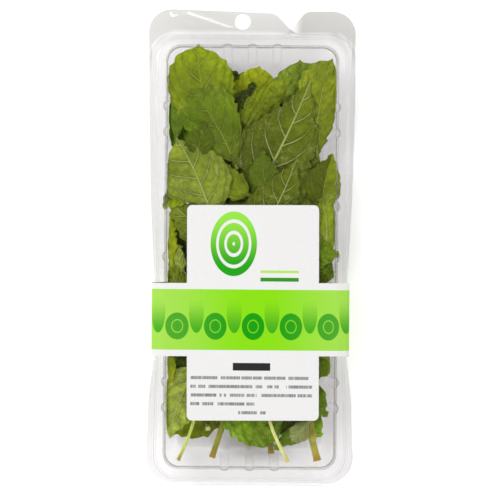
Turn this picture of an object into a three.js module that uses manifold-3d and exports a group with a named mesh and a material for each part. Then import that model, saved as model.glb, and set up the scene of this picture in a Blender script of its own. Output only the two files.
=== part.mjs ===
// A clear thermoformed clamshell pack of fresh-cut mint, closed by a cross-shaped paper seal.
// Millimetres. The pack lies on its back: +Z points out of the lid, +Y towards the hang tabs.
// The origin is under the middle of the pack, on the surface that its four feet stand on.
import * as THREE from 'three';
import { mergeVertices } from 'three/addons/utils/BufferGeometryUtils.js';
import Module from 'manifold-3d';

const wasm = await Module();
wasm.setup();

// Plastic sheet and the heights of its flat stretches
const SHEET = 0.5; // thickness of the formed sheet
const SKIN = 0.45; // the same, measured sideways through a sloping wall
const NEST_GAP = 0.3; // lid over tray
const FOOT_HEIGHT = 0.7;
const FLOOR_Z = FOOT_HEIGHT + SHEET; // inside of the tray floor
const TRAY_LIP_Z = 20.4; // top of the tray's outer lip
const STEP_HEIGHT = 1.3; // ledge above lip, on both halves
const PANEL_RISE = 1.5; // lid panel above the lid's ledge
const LID_LIP_Z = TRAY_LIP_Z + NEST_GAP + SHEET;
const PANEL_Z = LID_LIP_Z + STEP_HEIGHT + PANEL_RISE;

// Outlines, as half-width, top end, bottom end and corner radius
const WALL_FOOT = { halfWidth: 31.5, top: 78.6, bottom: -86.2, radius: 4.5 };
const MOUTH = { halfWidth: 35.2, top: 83.6, bottom: -91.2, radius: 5.7 };
const TRAY_LEDGE = { halfWidth: 39.6, top: 87.9, bottom: -96.4, radius: 10.4, waist: 0.8 };
const TRAY_STEP = { halfWidth: 40.3, top: 88.6, bottom: -97.1, radius: 10.7, waist: 1.05 };
const TRAY_LIP = { halfWidth: 43.4, top: 89.7, bottom: -98.35, radius: 10.9, waist: 2.85 };
const PANEL = { halfWidth: 35.4, top: 84.0, bottom: -91.5, radius: 6.0 };
const RISER_FOOT = { halfWidth: 36.1, top: 84.7, bottom: -92.2, radius: 6.4 };
const LID_LEDGE = { halfWidth: 40.4, top: 88.6, bottom: -97.2, radius: 10.7, waist: 0.8 };
const LID_STEP = { halfWidth: 41.1, top: 89.2, bottom: -97.9, radius: 10.9, waist: 1.05 };
const LID_LIP = { halfWidth: 43.6, top: 89.9, bottom: -99.3, radius: 11.2, waist: 2.85 };

// The flange is pulled in where the seal's band is tight round it: [y, share of the full pull]
const WAIST = [[88, 0], [55, 0.1], [20, 0.4], [-12, 1], [-47, 1], [-63, 0.3], [-88, 0]];

// Half-round flutes in the tray walls
const FLUTE_HALF_WIDTH = 1.95;
const FLUTE_DEPTH = 1.35; // at the mouth
const FOOT_FLUTE_DEPTH = 1.1; // at the floor
const SIDE_FLUTES = [63.0, 52.2, 21.3, 0, -21.3, -52.2, -63.0].map((y) => y - 3.76);
const END_FLUTES = [10.4, 0, -10.4];

// Hang tabs: the lid's is on the left, the tray's shows behind it on the right. The top edge runs
// from the outer corner to the shoulder, and from there a slope goes down to its foot on the rim.
const LID_TAB = {
  corner: 'left', radius: 9.5, top: 99.9, outerX: -34.1, shoulderX: 8.2, shoulderY: 98.6, footX: 19.9,
};
const TRAY_TAB = {
  corner: 'right', radius: 9.5, top: 99.5, outerX: 33.9, shoulderX: 23.2, shoulderY: 99.5, footX: 11.9,
};
const TAB_SLOPE = [[1, 0], [0.78, 0.1], [0.58, 0.32], [0.14, 0.9], [0, 1]]; // [share across, share of height]
const HANG_HOLE = { x: -4.2, y: 94.6, radius: 3.25 };

// Living hinge along the bottom edge
const HINGE = { y: -99.3, z: 20.55, radius: 0.65, length: 62 };

// Four round feet under the floor
const FOOT = { radius: 3, taper: 0.4, x: 24, top: 68, bottom: -76 };

// Paper seal: a panel on the lid, and a band round the pack that is slit along the flange
const PAPER = 0.3;
const SEAL_PANEL = { left: -26.8, right: 28.2, top: 18.0, bottom: -71.8, radius: 2.2 };
const BAND = {
  top: -14.5,
  bottom: -45.0,
  outer: 41.35,
  slit: 20.45, // height of the slit, where the lower part of the band begins
  falls: [[41.35, 2.9], [40.2, 1.15], [35.4, 0]], // [half-width, how far the front has fallen there]
};
const TAIL = {
  dropTo: 19.6, // straight down the flange's edge to this height
  foot: WALL_FOOT.halfWidth + FLUTE_DEPTH + 0.9, // half-width where it turns in under the floor
  under: 0.25,
  turn: 12, // length under the floor
};

// The heap of sprigs, in six layers between the floor and the lid
const HEAP = { bottom: 1.3, top: 22.6, layers: 6, play: 0.3, swell: 1.2 };
const HEAP_END = { from: 30, length: 54, drop: 5 }; // the heap is lower towards the tabs
const STEM_SINK = { from: 78, to: 92, height: 2.2, kept: 0.45 }; // cut ends sink towards the floor
const WALL_CLEARANCE = 0.5;
const STEM_CLEARANCE = 1.1;
const EASE = 3; // leaves give way over this distance from a wall
const BLADE = 0.7; // blade thickness
const PETIOLE = { share: 0.13, halfWidth: 0.8 };
const TOOTH = { out: 0.9, forward: 0.8 };
const STEM_SIDES = 6;
const STEM_STEPS = 12;
const TEETH = 5; // on each side of a leaf, where its own entry gives no number
const LEAF_LIFT = 0.55; // leaves of one stem rise and fall in turn, in shares of their layer's play
const LEAF_FOLD = 0.4;

const COLOURS = {
  plastic: { color: 0xe6eaea, roughness: 0.08, metalness: 0, transparent: true, opacity: 0.3 },
  paper: { color: 0xf3f2f1, roughness: 0.5, metalness: 0 },
  band: { color: 0x9be62a, roughness: 0.5, metalness: 0 },
};
const LEAF_GREENS = [0x4c6b1f, 0x54741f, 0x6a8a24, 0x7a9430, 0x80963a, 0x7d9440];

// Sprigs from the lowest layer up. A stem runs from its cut end to its tip. A leaf leaves it at a
// share of its length and ends at its tip; bend bows the midrib to the right of its own direction.
// The leaves that face the lid have more teeth.
const SPRIGS = [
  {
    stem: [[-17.6, -75.6], [-19, -68], [-22, -45], [-24, -15], [-24, 15], [-22, 40], [-20, 57]],
    radii: [1.0, 0.5],
    leaves: [
      { at: 0.04, tip: [-29, -80], width: 13, bend: 1.5 },
      { at: 0.06, tip: [-4, -79], width: 14, bend: -2 },
      { at: 0.28, tip: [-30, -18], width: 16, bend: -2 },
      { at: 0.29, tip: [-4, -22], width: 18, bend: 2 },
      { at: 0.52, tip: [-29, 15], width: 15, bend: -2 },
      { at: 0.53, tip: [-7, 12], width: 19, bend: 2 },
      { at: 0.86, tip: [-30, 64], width: 13, bend: -2, teeth: 8 },
      { at: 1, tip: [-9, 77], width: 17, bend: 2 },
    ],
  },
  {
    stem: [[9.2, -85.4], [8.8, -78], [10, -50], [12, -20], [12, 10], [8, 40], [0, 59]],
    radii: [1.2, 0.55],
    leaves: [
      { at: 0.1, tip: [27, -77], width: 15, bend: -1 },
      { at: 0.22, tip: [-9, -40], width: 18, bend: -2 },
      { at: 0.23, tip: [29, -36], width: 17, bend: 2 },
      { at: 0.44, tip: [-8, 2], width: 20, bend: -2 },
      { at: 0.45, tip: [30, 4], width: 17, bend: 2 },
      { at: 0.66, tip: [-6, 40], width: 19, bend: -2 },
      { at: 0.67, tip: [30, 36], width: 16, bend: 2 },
      { at: 1, tip: [-19, 81.5], width: 19, bend: -3 },
      { at: 1, tip: [11, 80], width: 16, bend: 1 },
    ],
  },
  {
    stem: [[-15.4, -87.3], [-11.7, -75.2], [-7, -55], [-5, -25], [-4, 5], [-3, 30], [2, 50]],
    radii: [1.25, 0.6],
    leaves: [
      { at: 0.11, tip: [11.5, -76], width: 18, bend: 1, teeth: 8 },
      { at: 0.17, tip: [-33, -65], width: 24, bend: 0, teeth: 8 },
      { at: 0.34, tip: [-25, -22], width: 20, bend: -2 },
      { at: 0.35, tip: [16, -18], width: 20, bend: 2 },
      { at: 0.62, tip: [-25, 24], width: 21, bend: -2 },
      { at: 0.63, tip: [17, 26], width: 22, bend: 2 },
      { at: 0.83, tip: [-20, 56], width: 20, bend: -2 },
      { at: 1, tip: [15.5, 74], width: 15, bend: 2, teeth: 8 },
    ],
  },
  {
    stem: [[28.5, -88.6], [25.9, -75.7], [24, -45], [27, -15], [29.5, 10], [28, 35]],
    radii: [1.6, 0.8],
    leaves: [
      { at: 0.26, tip: [31.5, -70], width: 11, bend: -3 },
      { at: 0.3, tip: [31.5, -30], width: 12, bend: 2 },
      { at: 0.31, tip: [7, -36], width: 20, bend: -2 },
      { at: 0.5, tip: [32.5, 1], width: 13, bend: 2 },
      { at: 0.51, tip: [9, 8], width: 20, bend: -2 },
      { at: 0.66, tip: [31, 24], width: 14, bend: 1 },
      { at: 0.8, tip: [32.5, 40], width: 9, bend: 1.5 },
      { at: 0.81, tip: [22, 54], width: 15, bend: -3, teeth: 8 },
      { at: 1, tip: [25, 80], width: 21, bend: -1, teeth: 8 },
      { at: 1, tip: [15.5, 78.5], width: 17, bend: -3, teeth: 8 },
    ],
  },
  {
    stem: [
      [-29.6, -88.7], [-23.4, -72.3], [-19, -45], [-17, -15], [-17.5, 13.7], [-13.5, 33], [-11.5, 52],
    ],
    radii: [0.8, 0.6],
    leaves: [
      { at: 0.33, tip: [-33, -32], width: 15, bend: -3 },
      { at: 0.34, tip: [3, -28], width: 21, bend: 3 },
      { at: 0.5, tip: [-31, 1], width: 15, bend: -3 },
      { at: 0.6, tip: [-33.5, 17], width: 17, bend: -3, teeth: 8 },
      { at: 0.61, tip: [1, 12], width: 18, bend: 3 },
      { at: 0.73, tip: [-31.5, 46], width: 25, bend: -2, teeth: 8 },
      { at: 0.87, tip: [-20, 54], width: 12, bend: -1 },
      { at: 0.88, tip: [-6, 56], width: 12, bend: 1 },
      { at: 1, tip: [-22.5, 83], width: 27, bend: 2.5, teeth: 8 },
      { at: 1, tip: [-0.5, 77], width: 16, bend: 2, teeth: 8 },
    ],
  },
  {
    stem: [[15.9, -88.7], [8.4, -72], [4.5, -45], [3.5, -15], [4.4, 11], [8.7, 37]],
    radii: [0.85, 0.7],
    leaves: [
      { at: 0.36, tip: [-15, -25], width: 22, bend: -2 },
      { at: 0.37, tip: [24, -22], width: 22, bend: 2 },
      { at: 0.58, tip: [-17, 9], width: 22, bend: -3 },
      { at: 0.59, tip: [24, 10], width: 20, bend: 3 },
      { at: 0.79, tip: [18.7, 36.6], width: 26, bend: 2.5, teeth: 8 },
      { at: 0.8, tip: [-11.5, 36], width: 17, bend: -3, teeth: 8 },
      { at: 1, tip: [23.8, 71], width: 31, bend: 1, teeth: 8 },
      { at: 1, tip: [-3.7, 68.5], width: 14, bend: -3, teeth: 8 },
    ],
  },
];

const mix = (a, b, t) => a + (b - a) * t;

// A value read off a list of [place, value] pairs that runs from high places to low ones.
function readOff(pairs, place) {
  const next = pairs.findIndex(([at]) => at <= place);
  if (next === 0) return pairs[0][1];
  if (next < 0) return pairs[pairs.length - 1][1];
  const [[a, from], [b, to]] = [pairs[next - 1], pairs[next]];
  return mix(from, to, (place - a) / (b - a));
}

// ---------- closed surfaces and solids ----------

// The closed surface through rings of equal count, each run anticlockwise, capped at both ends.
function loft(rings) {
  const count = rings[0].length;
  const faces = [];
  for (let r = 0; r < rings.length - 1; r++) {
    for (let i = 0; i < count; i++) {
      const a = r * count + i;
      const b = r * count + ((i + 1) % count);
      faces.push(a, b, b + count, a, b + count, a + count);
    }
  }
  const last = (rings.length - 1) * count;
  for (const [a, b, c] of capFaces(rings[0])) faces.push(c, b, a);
  for (const [a, b, c] of capFaces(rings[rings.length - 1])) faces.push(last + a, last + b, last + c);
  return surface(rings.flat(), faces);
}

// The triangles that close a ring, found in the plane in which it is widest.
function capFaces(ring) {
  const size = new THREE.Box3().setFromPoints(ring).getSize(new THREE.Vector3());
  const upright = size.z > Math.min(size.x, size.y);
  const outline = ring.map((p) => (upright ? new THREE.Vector2(p.x, p.z) : new THREE.Vector2(p.x, p.y)));
  const faces = THREE.ShapeUtils.triangulateShape(outline, []);
  return THREE.ShapeUtils.area(outline) > 0 ? faces : faces.map((face) => face.reverse());
}

function surface(points, faces) {
  const geometry = new THREE.BufferGeometry().setFromPoints(points);
  return geometry.setIndex(faces);
}

function solid(geometry) {
  const bare = geometry.clone().deleteAttribute('normal').deleteAttribute('uv');
  const merged = mergeVertices(bare, 1e-4);
  const vertProperties = merged.attributes.position.array;
  return new wasm.Manifold(new wasm.Mesh({ numProp: 3, vertProperties, triVerts: merged.index.array }));
}

function geometryOf(body) {
  const { numProp, vertProperties, triVerts } = body.getMesh();
  const interleaved = new THREE.InterleavedBuffer(vertProperties, numProp);
  const geometry = new THREE.BufferGeometry();
  geometry.setAttribute('position', new THREE.InterleavedBufferAttribute(interleaved, 3, 0));
  geometry.setIndex(new THREE.BufferAttribute(triVerts, 1));
  return geometry;
}

function part(name, body, look) {
  const made = new THREE.Mesh(geometryOf(body).toNonIndexed(), new THREE.MeshStandardMaterial(look));
  made.geometry.computeVertexNormals();
  made.name = name;
  return made;
}

// ---------- rings round the pack ----------

// Four marks across each flute: [place along the wall, share of the flute's depth].
function fluteMarks(centres) {
  const across = [[-1, 0], [-0.5, 0.9], [0.5, 0.9], [1, 0]];
  return centres.flatMap((c) => across.map(([u, depth]) => [c + u * FLUTE_HALF_WIDTH, depth]));
}

const plain = (places) => places.map((place) => [place, 0]);
const upwards = (marks) => [...marks].sort((a, b) => a[0] - b[0]);
const WAIST_PLACES = WAIST.map(([y]) => y).filter((y) => Math.abs(y) < 60);

// The y of the top edge at x: along the tab, down its slope, and on at the rim's own height.
function tabEdge(tab, rimY, x) {
  const down = (x - tab.shoulderX) / (tab.footX - tab.shoulderX);
  if (down > 0) return mix(rimY, tab.shoulderY, readOff(TAB_SLOPE, down));
  return mix(tab.shoulderY, tab.top, (x - tab.shoulderX) / (tab.outerX - tab.shoulderX));
}

// The places where a tab's outline turns, along the top side.
function tabPlaces(tab) {
  return TAB_SLOPE.map(([share]) => mix(tab.shoulderX, tab.footX, share));
}

function cornerPoints(x, y, radius, from) {
  return [0, 1, 2, 3, 4].map((i) => {
    const angle = ((from + i * 22.5) * Math.PI) / 180;
    return [x + radius * Math.cos(angle), y + radius * Math.sin(angle)];
  });
}

// A ring of the outline at height z. flute is the depth of the flutes there, tab an optional hang tab.
function ring(marks, outline, z, { grow = 0, flute = 0, tab = null } = {}) {
  const [w, top, bottom] = [outline.halfWidth + grow, outline.top + grow, outline.bottom - grow];
  const r = outline.radius + grow;
  const corner = (at) => (tab?.corner === at ? { y: tab.top, r: tab.radius } : { y: top, r });
  const [left, right] = [corner('left'), corner('right')];
  const side = ([y, depth], sign) => {
    const pull = (outline.waist ?? 0) * readOff(WAIST, y);
    return [sign * (w - pull + depth * flute), y];
  };
  const edge = (x) => (tab ? tabEdge(tab, top, x) : top);
  const points = [
    ...marks.side.map((mark) => side(mark, 1)),
    ...cornerPoints(w - right.r, right.y - right.r, right.r, 0),
    ...marks.top.map(([x, depth]) => [x, edge(x) + depth * flute]).reverse(),
    ...cornerPoints(left.r - w, left.y - left.r, left.r, 90),
    ...marks.side.map((mark) => side(mark, -1)).reverse(),
    ...cornerPoints(r - w, bottom + r, r, 180),
    ...marks.bottom.map(([x, depth]) => [x, bottom - depth * flute]),
    ...cornerPoints(w - r, bottom + r, r, 270),
  ];
  return points.map(([x, y]) => new THREE.Vector3(x, y, z));
}

// ---------- plastic ----------

function trayShell() {
  const marks = {
    side: upwards([...fluteMarks(SIDE_FLUTES), ...plain(WAIST_PLACES)]),
    top: upwards([...fluteMarks(END_FLUTES), ...plain(tabPlaces(TRAY_TAB).slice(1))]),
    bottom: upwards(fluteMarks(END_FLUTES)),
  };
  const at = (outline, z, extra) => ring(marks, outline, z, extra);
  const ledge = TRAY_LIP_Z + STEP_HEIGHT;
  return loft([
    at(WALL_FOOT, FOOT_HEIGHT, { grow: SKIN, flute: FOOT_FLUTE_DEPTH }),
    at(MOUTH, ledge - SHEET, { grow: SKIN, flute: FLUTE_DEPTH }),
    at(TRAY_LEDGE, ledge - SHEET, { grow: -SKIN }),
    at(TRAY_STEP, TRAY_LIP_Z - SHEET, { grow: -SKIN }),
    at(TRAY_LIP, TRAY_LIP_Z - SHEET, { tab: TRAY_TAB }),
    at(TRAY_LIP, TRAY_LIP_Z, { tab: TRAY_TAB }),
    at(TRAY_STEP, TRAY_LIP_Z),
    at(TRAY_LEDGE, ledge),
    at(MOUTH, ledge, { flute: FLUTE_DEPTH }),
    at(WALL_FOOT, FLOOR_Z, { flute: FOOT_FLUTE_DEPTH }),
  ]);
}

function tray() {
  const height = FOOT_HEIGHT + SHEET / 2; // each foot is sunk into the floor
  let body = solid(trayShell());
  for (const x of [-FOOT.x, FOOT.x]) {
    for (const y of [FOOT.bottom, FOOT.top]) {
      const foot = new THREE.CylinderGeometry(FOOT.radius, FOOT.radius - FOOT.taper, height, 12);
      foot.rotateX(Math.PI / 2).translate(x, y, height / 2);
      body = body.add(solid(foot));
    }
  }
  return body;
}

function lidShell() {
  const marks = {
    side: upwards(plain([...WAIST_PLACES, -70, 70])),
    top: upwards(plain([-25, -12, 0, ...tabPlaces(LID_TAB)])),
    bottom: plain([-20, 0, 20]),
  };
  const at = (outline, z, extra) => ring(marks, outline, z, extra);
  const ledge = LID_LIP_Z + STEP_HEIGHT;
  return loft([
    at(PANEL, PANEL_Z - SHEET, { grow: -SKIN }),
    at(RISER_FOOT, ledge - SHEET, { grow: -SKIN }),
    at(LID_LEDGE, ledge - SHEET, { grow: -SKIN }),
    at(LID_STEP, LID_LIP_Z - SHEET, { grow: -SKIN }),
    at(LID_LIP, LID_LIP_Z - SHEET, { tab: LID_TAB }),
    at(LID_LIP, LID_LIP_Z, { tab: LID_TAB }),
    at(LID_STEP, LID_LIP_Z),
    at(LID_LEDGE, ledge),
    at(RISER_FOOT, ledge),
    at(PANEL, PANEL_Z),
  ]);
}

function lid() {
  const bead = new THREE.CylinderGeometry(HINGE.radius, HINGE.radius, HINGE.length, 12);
  bead.rotateZ(Math.PI / 2).translate(0, HINGE.y, HINGE.z);
  const punch = new THREE.CylinderGeometry(HANG_HOLE.radius, HANG_HOLE.radius, SHEET * 6, 24);
  punch.rotateX(Math.PI / 2).translate(HANG_HOLE.x, HANG_HOLE.y, LID_LIP_Z);
  return solid(lidShell()).add(solid(bead)).subtract(solid(punch));
}

// ---------- paper seal ----------

// Height of the front's paper at x: flat on the lid, then down over the flange.
function paperHeight(x) {
  return PANEL_Z + PAPER / 2 - readOff(BAND.falls, Math.abs(x));
}

// The seal's front: the panel lies on the lid and the band's wings reach over the flange.
function sealFront() {
  const { left, right, top, bottom, radius } = SEAL_PANEL;
  const corner = (x, y, from) => cornerPoints(x, y, radius, from);
  const folds = BAND.falls.map(([x]) => x).reverse();
  const wing = (sign) => [
    ...folds.map((x) => [sign * x, sign > 0 ? BAND.bottom : BAND.top]),
    ...folds.map((x) => [sign * x, sign > 0 ? BAND.top : BAND.bottom]).reverse(),
  ];
  const outline = [
    ...corner(right - radius, bottom + radius, 270),
    [right, BAND.bottom], ...wing(1), [right, BAND.top],
    ...corner(right - radius, top - radius, 0),
    ...corner(left + radius, top - radius, 90),
    [left, BAND.top], ...wing(-1), [left, BAND.bottom],
    ...corner(left + radius, bottom + radius, 180),
  ];
  const isFlat = ([x]) => Math.abs(x) <= folds[0];
  const flat = outline.map((_, i) => i).filter((i) => isFlat(outline[i]));
  const flatOutline = flat.map((i) => new THREE.Vector2(...outline[i]));
  const faces = THREE.ShapeUtils.triangulateShape(flatOutline, []).map((face) => face.map((i) => flat[i]));
  for (const sign of [1, -1]) {
    const start = outline.findIndex(([x]) => x === sign * folds[0]);
    for (let i = 0; i < folds.length - 1; i++) {
      const [a, b] = [start + i, start + i + 1];
      const [c, d] = [start + 2 * folds.length - 2 - i, start + 2 * folds.length - 1 - i];
      faces.push([a, b, c], [a, c, d]);
    }
  }
  const points = outline.map(([x, y]) => new THREE.Vector3(x, y, paperHeight(x)));
  return solid(thicken(points, faces, outline.map((_, i) => i), PAPER));
}

// A strip of paper of the band's width, along a path of [x, z] points that is its inner face.
function strip(path) {
  const inner = path.map(([x, z]) => new THREE.Vector2(x, z));
  const outer = inner.map((p, i) => {
    const before = inner[Math.max(i - 1, 0)];
    const after = inner[Math.min(i + 1, inner.length - 1)];
    const ahead = after.clone().sub(before).normalize();
    return p.clone().add(new THREE.Vector2(-ahead.y, ahead.x).multiplyScalar(PAPER));
  });
  const outline = new THREE.Shape([...inner, ...outer.reverse()]);
  const made = new THREE.ExtrudeGeometry(outline, { depth: BAND.top - BAND.bottom, bevelEnabled: false });
  return made.rotateX(Math.PI / 2).translate(0, BAND.top, 0);
}

// A tail of the seal: from the slit under the flange to the floor's edge, and turned in under it.
function sealTail(sign) {
  const edge = BAND.outer - PAPER;
  const { foot, under, turn, dropTo } = TAIL;
  const path = [[edge, BAND.slit], [edge, dropTo], [foot, under + 2 * PAPER], [foot - 0.5, under + PAPER]];
  path.push([foot - turn, under + PAPER]);
  if (sign > 0) return solid(strip(path));
  return solid(strip(path.map(([x, z]) => [-x, z]).reverse()));
}

// ---------- sprigs ----------

// Height at (x, y) of a level in the heap: 0 is its underside and HEAP.layers its top.
function heapHeight(x, y, level) {
  const end = Math.max(0, y - HEAP_END.from) / HEAP_END.length;
  const topSwell = 0.8 * HEAP.swell * Math.sin(x / 12 + 0.8) * Math.cos(y / 17);
  const bottomSwell = 0.5 * HEAP.swell * (1 + Math.sin(y / 15 + x / 20));
  const top = HEAP.top + topSwell - HEAP_END.drop * end * end;
  return mix(HEAP.bottom + bottomSwell, top, level / HEAP.layers);
}

// A place eased as it nears a wall, so that it never passes the limit.
function eased(place, limit) {
  const free = limit - EASE;
  const past = Math.abs(place) - free;
  return past <= 0 ? place : Math.sign(place) * (free + EASE * (1 - Math.exp(-past / EASE)));
}

// Leaves and stems press against the tray walls, which lean outwards from the floor.
function insideWalls(x, y, z, clearance = WALL_CLEARANCE) {
  const up = (z - FLOOR_Z) / (TRAY_LIP_Z + STEP_HEIGHT - FLOOR_Z);
  const at = (key) => mix(WALL_FOOT[key], MOUTH[key], up);
  const middle = (at('top') + at('bottom')) / 2;
  const reach = (at('top') - at('bottom')) / 2 - clearance;
  return [eased(x, at('halfWidth') - clearance), middle + eased(y - middle, reach)];
}

// A point of a sprig in layer number layer; local runs from -1 at the layer's underside to 1.
function inHeap(x, y, layer, local) {
  const z = heapHeight(x, y, layer + 0.5 + HEAP.play * local);
  return new THREE.Vector3(...insideWalls(x, y, z), z);
}

// The middle of the stem at a share of its length.
function stemPoint(stem, layer, share) {
  const p = stem.getPoint(share);
  const level = heapHeight(p.x, p.y, layer + 0.5);
  const sink = THREE.MathUtils.smoothstep(-p.y, STEM_SINK.from, STEM_SINK.to);
  const z = mix(level, mix(FLOOR_Z + STEM_SINK.height, level, STEM_SINK.kept), sink);
  return new THREE.Vector3(...insideWalls(p.x, p.y, z, STEM_CLEARANCE), z);
}

function stemSolid(sprig, stem, layer) {
  const rings = [];
  for (let i = 0; i <= STEM_STEPS; i++) {
    const share = i / STEM_STEPS;
    const centre = stemPoint(stem, layer, share);
    const ahead = stem.getTangent(share);
    const radius = mix(sprig.radii[0], sprig.radii[1], share);
    rings.push(stemRing(centre, ahead, radius));
  }
  return solid(loft(rings));
}

function stemRing(centre, ahead, radius) {
  const ring = [];
  for (let k = 0; k < STEM_SIDES; k++) {
    const angle = (2 * Math.PI * (k + 0.5)) / STEM_SIDES;
    const across = radius * Math.cos(angle);
    ring.push(new THREE.Vector3(
      centre.x - ahead.y * across,
      centre.y + ahead.x * across,
      centre.z + radius * Math.sin(angle),
    ));
  }
  return ring;
}

// Half the blade's width at a share of the leaf's length, without its teeth.
function bladeHalfWidth(share, width) {
  const along = THREE.MathUtils.clamp((share - PETIOLE.share) / (1 - PETIOLE.share), 0, 1);
  const oval = 2.21 * along ** 0.45 * (1 - along) ** 0.75; // 1 at its widest, 0.375 along
  return Math.max(mix(PETIOLE.halfWidth, 0.35, along), (width / 2 - TOOTH.out * 0.6) * oval);
}

// The points of one leaf in its layer: rows from the stem to the tip, with a tooth between rows.
function leafPoints(leaf, stem, layer, turn) {
  const teeth = leaf.teeth ?? TEETH;
  const root = stem.getPoint(leaf.at);
  const tip = new THREE.Vector2(...leaf.tip);
  const axis = tip.clone().sub(root);
  const right = new THREE.Vector2(axis.y, -axis.x).normalize();
  const middle = root.clone().add(tip).multiplyScalar(0.5).addScaledVector(right, leaf.bend * 2);
  const midrib = new THREE.QuadraticBezierCurve(root, middle, tip);
  const rise = (share) => THREE.MathUtils.smoothstep(share, 0, 0.3);
  const place = (share, side, reach = { out: 0, forward: 0 }) => {
    const ahead = midrib.getTangent(share);
    const half = side * (bladeHalfWidth(share, leaf.width) + reach.out);
    const p = midrib.getPoint(share).addScaledVector(ahead, reach.forward);
    p.add(new THREE.Vector2(ahead.y, -ahead.x).multiplyScalar(half));
    const fold = LEAF_FOLD * Math.sin(Math.PI * share) * (Math.abs(side) * 2 - 1);
    return inHeap(p.x, p.y, layer, rise(share) * turn * (LEAF_LIFT + fold));
  };
  const shareOf = (row) => (row <= 0 ? 0 : mix(PETIOLE.share, 1, Math.min(row - 1, teeth) / teeth));
  const rows = [];
  for (let i = 0; i <= teeth + 1; i++) {
    const between = i === 0 ? PETIOLE.share / 2 : shareOf(i + 0.65);
    const reach = { out: i === 0 || i === teeth ? 0 : TOOTH.out, forward: i === 0 ? 0 : TOOTH.forward };
    rows.push({
      mid: place(shareOf(i), 0),
      right: place(shareOf(i), 1),
      left: place(shareOf(i), -1),
      rightTooth: place(between, 1, reach),
      leftTooth: place(between, -1, reach),
    });
  }
  return rows;
}

// One leaf as a closed blade, split into triangles alike on both faces.
function leafSolid(leaf, stem, layer, turn) {
  const rows = leafPoints(leaf, stem, layer, turn);
  const last = rows.length - 1;
  const points = [];
  const index = new Map();
  const point = (i, key) => {
    const name = `${i}${key}`;
    if (!index.has(name)) {
      index.set(name, points.length);
      points.push(rows[i][key]);
    }
    return index.get(name);
  };
  const faces = [];
  for (let i = 0; i < last; i++) {
    for (const [edge, tooth, turn] of [['right', 'rightTooth', false], ['left', 'leftTooth', true]]) {
      const [mid, side, out] = [point(i, 'mid'), point(i, edge), point(i, tooth)];
      const [nextMid, nextSide] = [point(i + 1, 'mid'), point(i + 1, edge)];
      for (const face of [[mid, side, out], [mid, out, nextMid], [nextMid, out, nextSide]]) {
        faces.push(turn ? face.reverse() : face);
      }
    }
  }
  const rightEdge = rows.slice(0, last).flatMap((_, i) => [point(i, 'right'), point(i, 'rightTooth')]);
  const leftEdge = rows.slice(0, last).flatMap((_, i) => [point(i, 'left'), point(i, 'leftTooth')]);
  const rim = [point(0, 'mid'), ...rightEdge, point(last, 'right'), point(last, 'mid'), point(last, 'left')];
  rim.push(...leftEdge.reverse());
  return solid(thicken(points, faces, rim, BLADE));
}

// A sheet of triangles made into a closed blade by a copy above and a copy below, joined at the rim.
function thicken(points, faces, rim, thickness) {
  const shift = (z) => points.map((p) => new THREE.Vector3(p.x, p.y, p.z + z));
  const below = points.length;
  const all = [];
  for (const [a, b, c] of faces) all.push(a, b, c, below + c, below + b, below + a);
  rim.forEach((a, i) => {
    const b = rim[(i + 1) % rim.length];
    all.push(below + a, below + b, b, below + a, b, a);
  });
  return surface([...shift(thickness / 2), ...shift(-thickness / 2)], all);
}

function sprig(data, layer) {
  const stem = new THREE.SplineCurve(data.stem.map(([x, y]) => new THREE.Vector2(x, y)));
  const leaves = data.leaves.map((leaf, i) => leafSolid(leaf, stem, layer, i % 2 ? 1 : -1));
  return leaves.reduce((body, leaf) => body.add(leaf), stemSolid(data, stem, layer));
}

// ---------- the pack ----------

const pack = new THREE.Group();
pack.add(part('tray', tray(), COLOURS.plastic));
pack.add(part('lid', lid(), COLOURS.plastic));
pack.add(part('seal_front', sealFront(), COLOURS.paper));
pack.add(part('seal_tail_left', sealTail(-1), COLOURS.band));
pack.add(part('seal_tail_right', sealTail(1), COLOURS.band));
SPRIGS.forEach((data, layer) => {
  const look = { color: LEAF_GREENS[layer], roughness: 0.6, metalness: 0 };
  pack.add(part(`sprig_${layer + 1}`, sprig(data, layer), look));
});

export default pack;
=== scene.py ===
"""A clear clamshell pack of fresh-cut mint, dressed for a studio picture from straight above.
The pack lies on its back: +Z points out of the lid and +Y towards the hang tabs."""

import math
from functools import partial

import bpy
import numpy as np
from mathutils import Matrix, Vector


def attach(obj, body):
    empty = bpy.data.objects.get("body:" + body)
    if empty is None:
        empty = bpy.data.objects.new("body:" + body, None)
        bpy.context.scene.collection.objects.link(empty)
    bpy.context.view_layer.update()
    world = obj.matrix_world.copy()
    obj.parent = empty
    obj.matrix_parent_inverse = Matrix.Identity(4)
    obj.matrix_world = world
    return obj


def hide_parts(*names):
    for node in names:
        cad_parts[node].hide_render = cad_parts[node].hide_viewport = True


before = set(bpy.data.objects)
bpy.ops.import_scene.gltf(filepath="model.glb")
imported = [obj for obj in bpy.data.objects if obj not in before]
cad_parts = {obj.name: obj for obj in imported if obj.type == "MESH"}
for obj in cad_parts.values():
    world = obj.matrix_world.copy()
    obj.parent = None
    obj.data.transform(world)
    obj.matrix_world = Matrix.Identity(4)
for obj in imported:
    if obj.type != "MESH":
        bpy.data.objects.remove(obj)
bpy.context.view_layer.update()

# ---------- camera ----------
# The photograph looks straight down on the pack from about 0.8 m. The pack lies turned by half a
# degree in it, so the camera is turned the other way.
MM = 0.001
VIEW_WIDTH = 208.75 * MM  # what the square frame takes in at the lid
LID_PLANE = 22.5 * MM
CAMERA_AT = (-0.42 * MM, -0.73 * MM, 0.80)
CAMERA_TURN = math.radians(0.46)
SENSOR = 36


def place_object(name, data):
    """Puts a mesh, lamp, curve or camera into the scene, at the origin."""
    made = bpy.data.objects.new(name, data)
    bpy.context.scene.collection.objects.link(made)
    return made


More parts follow.
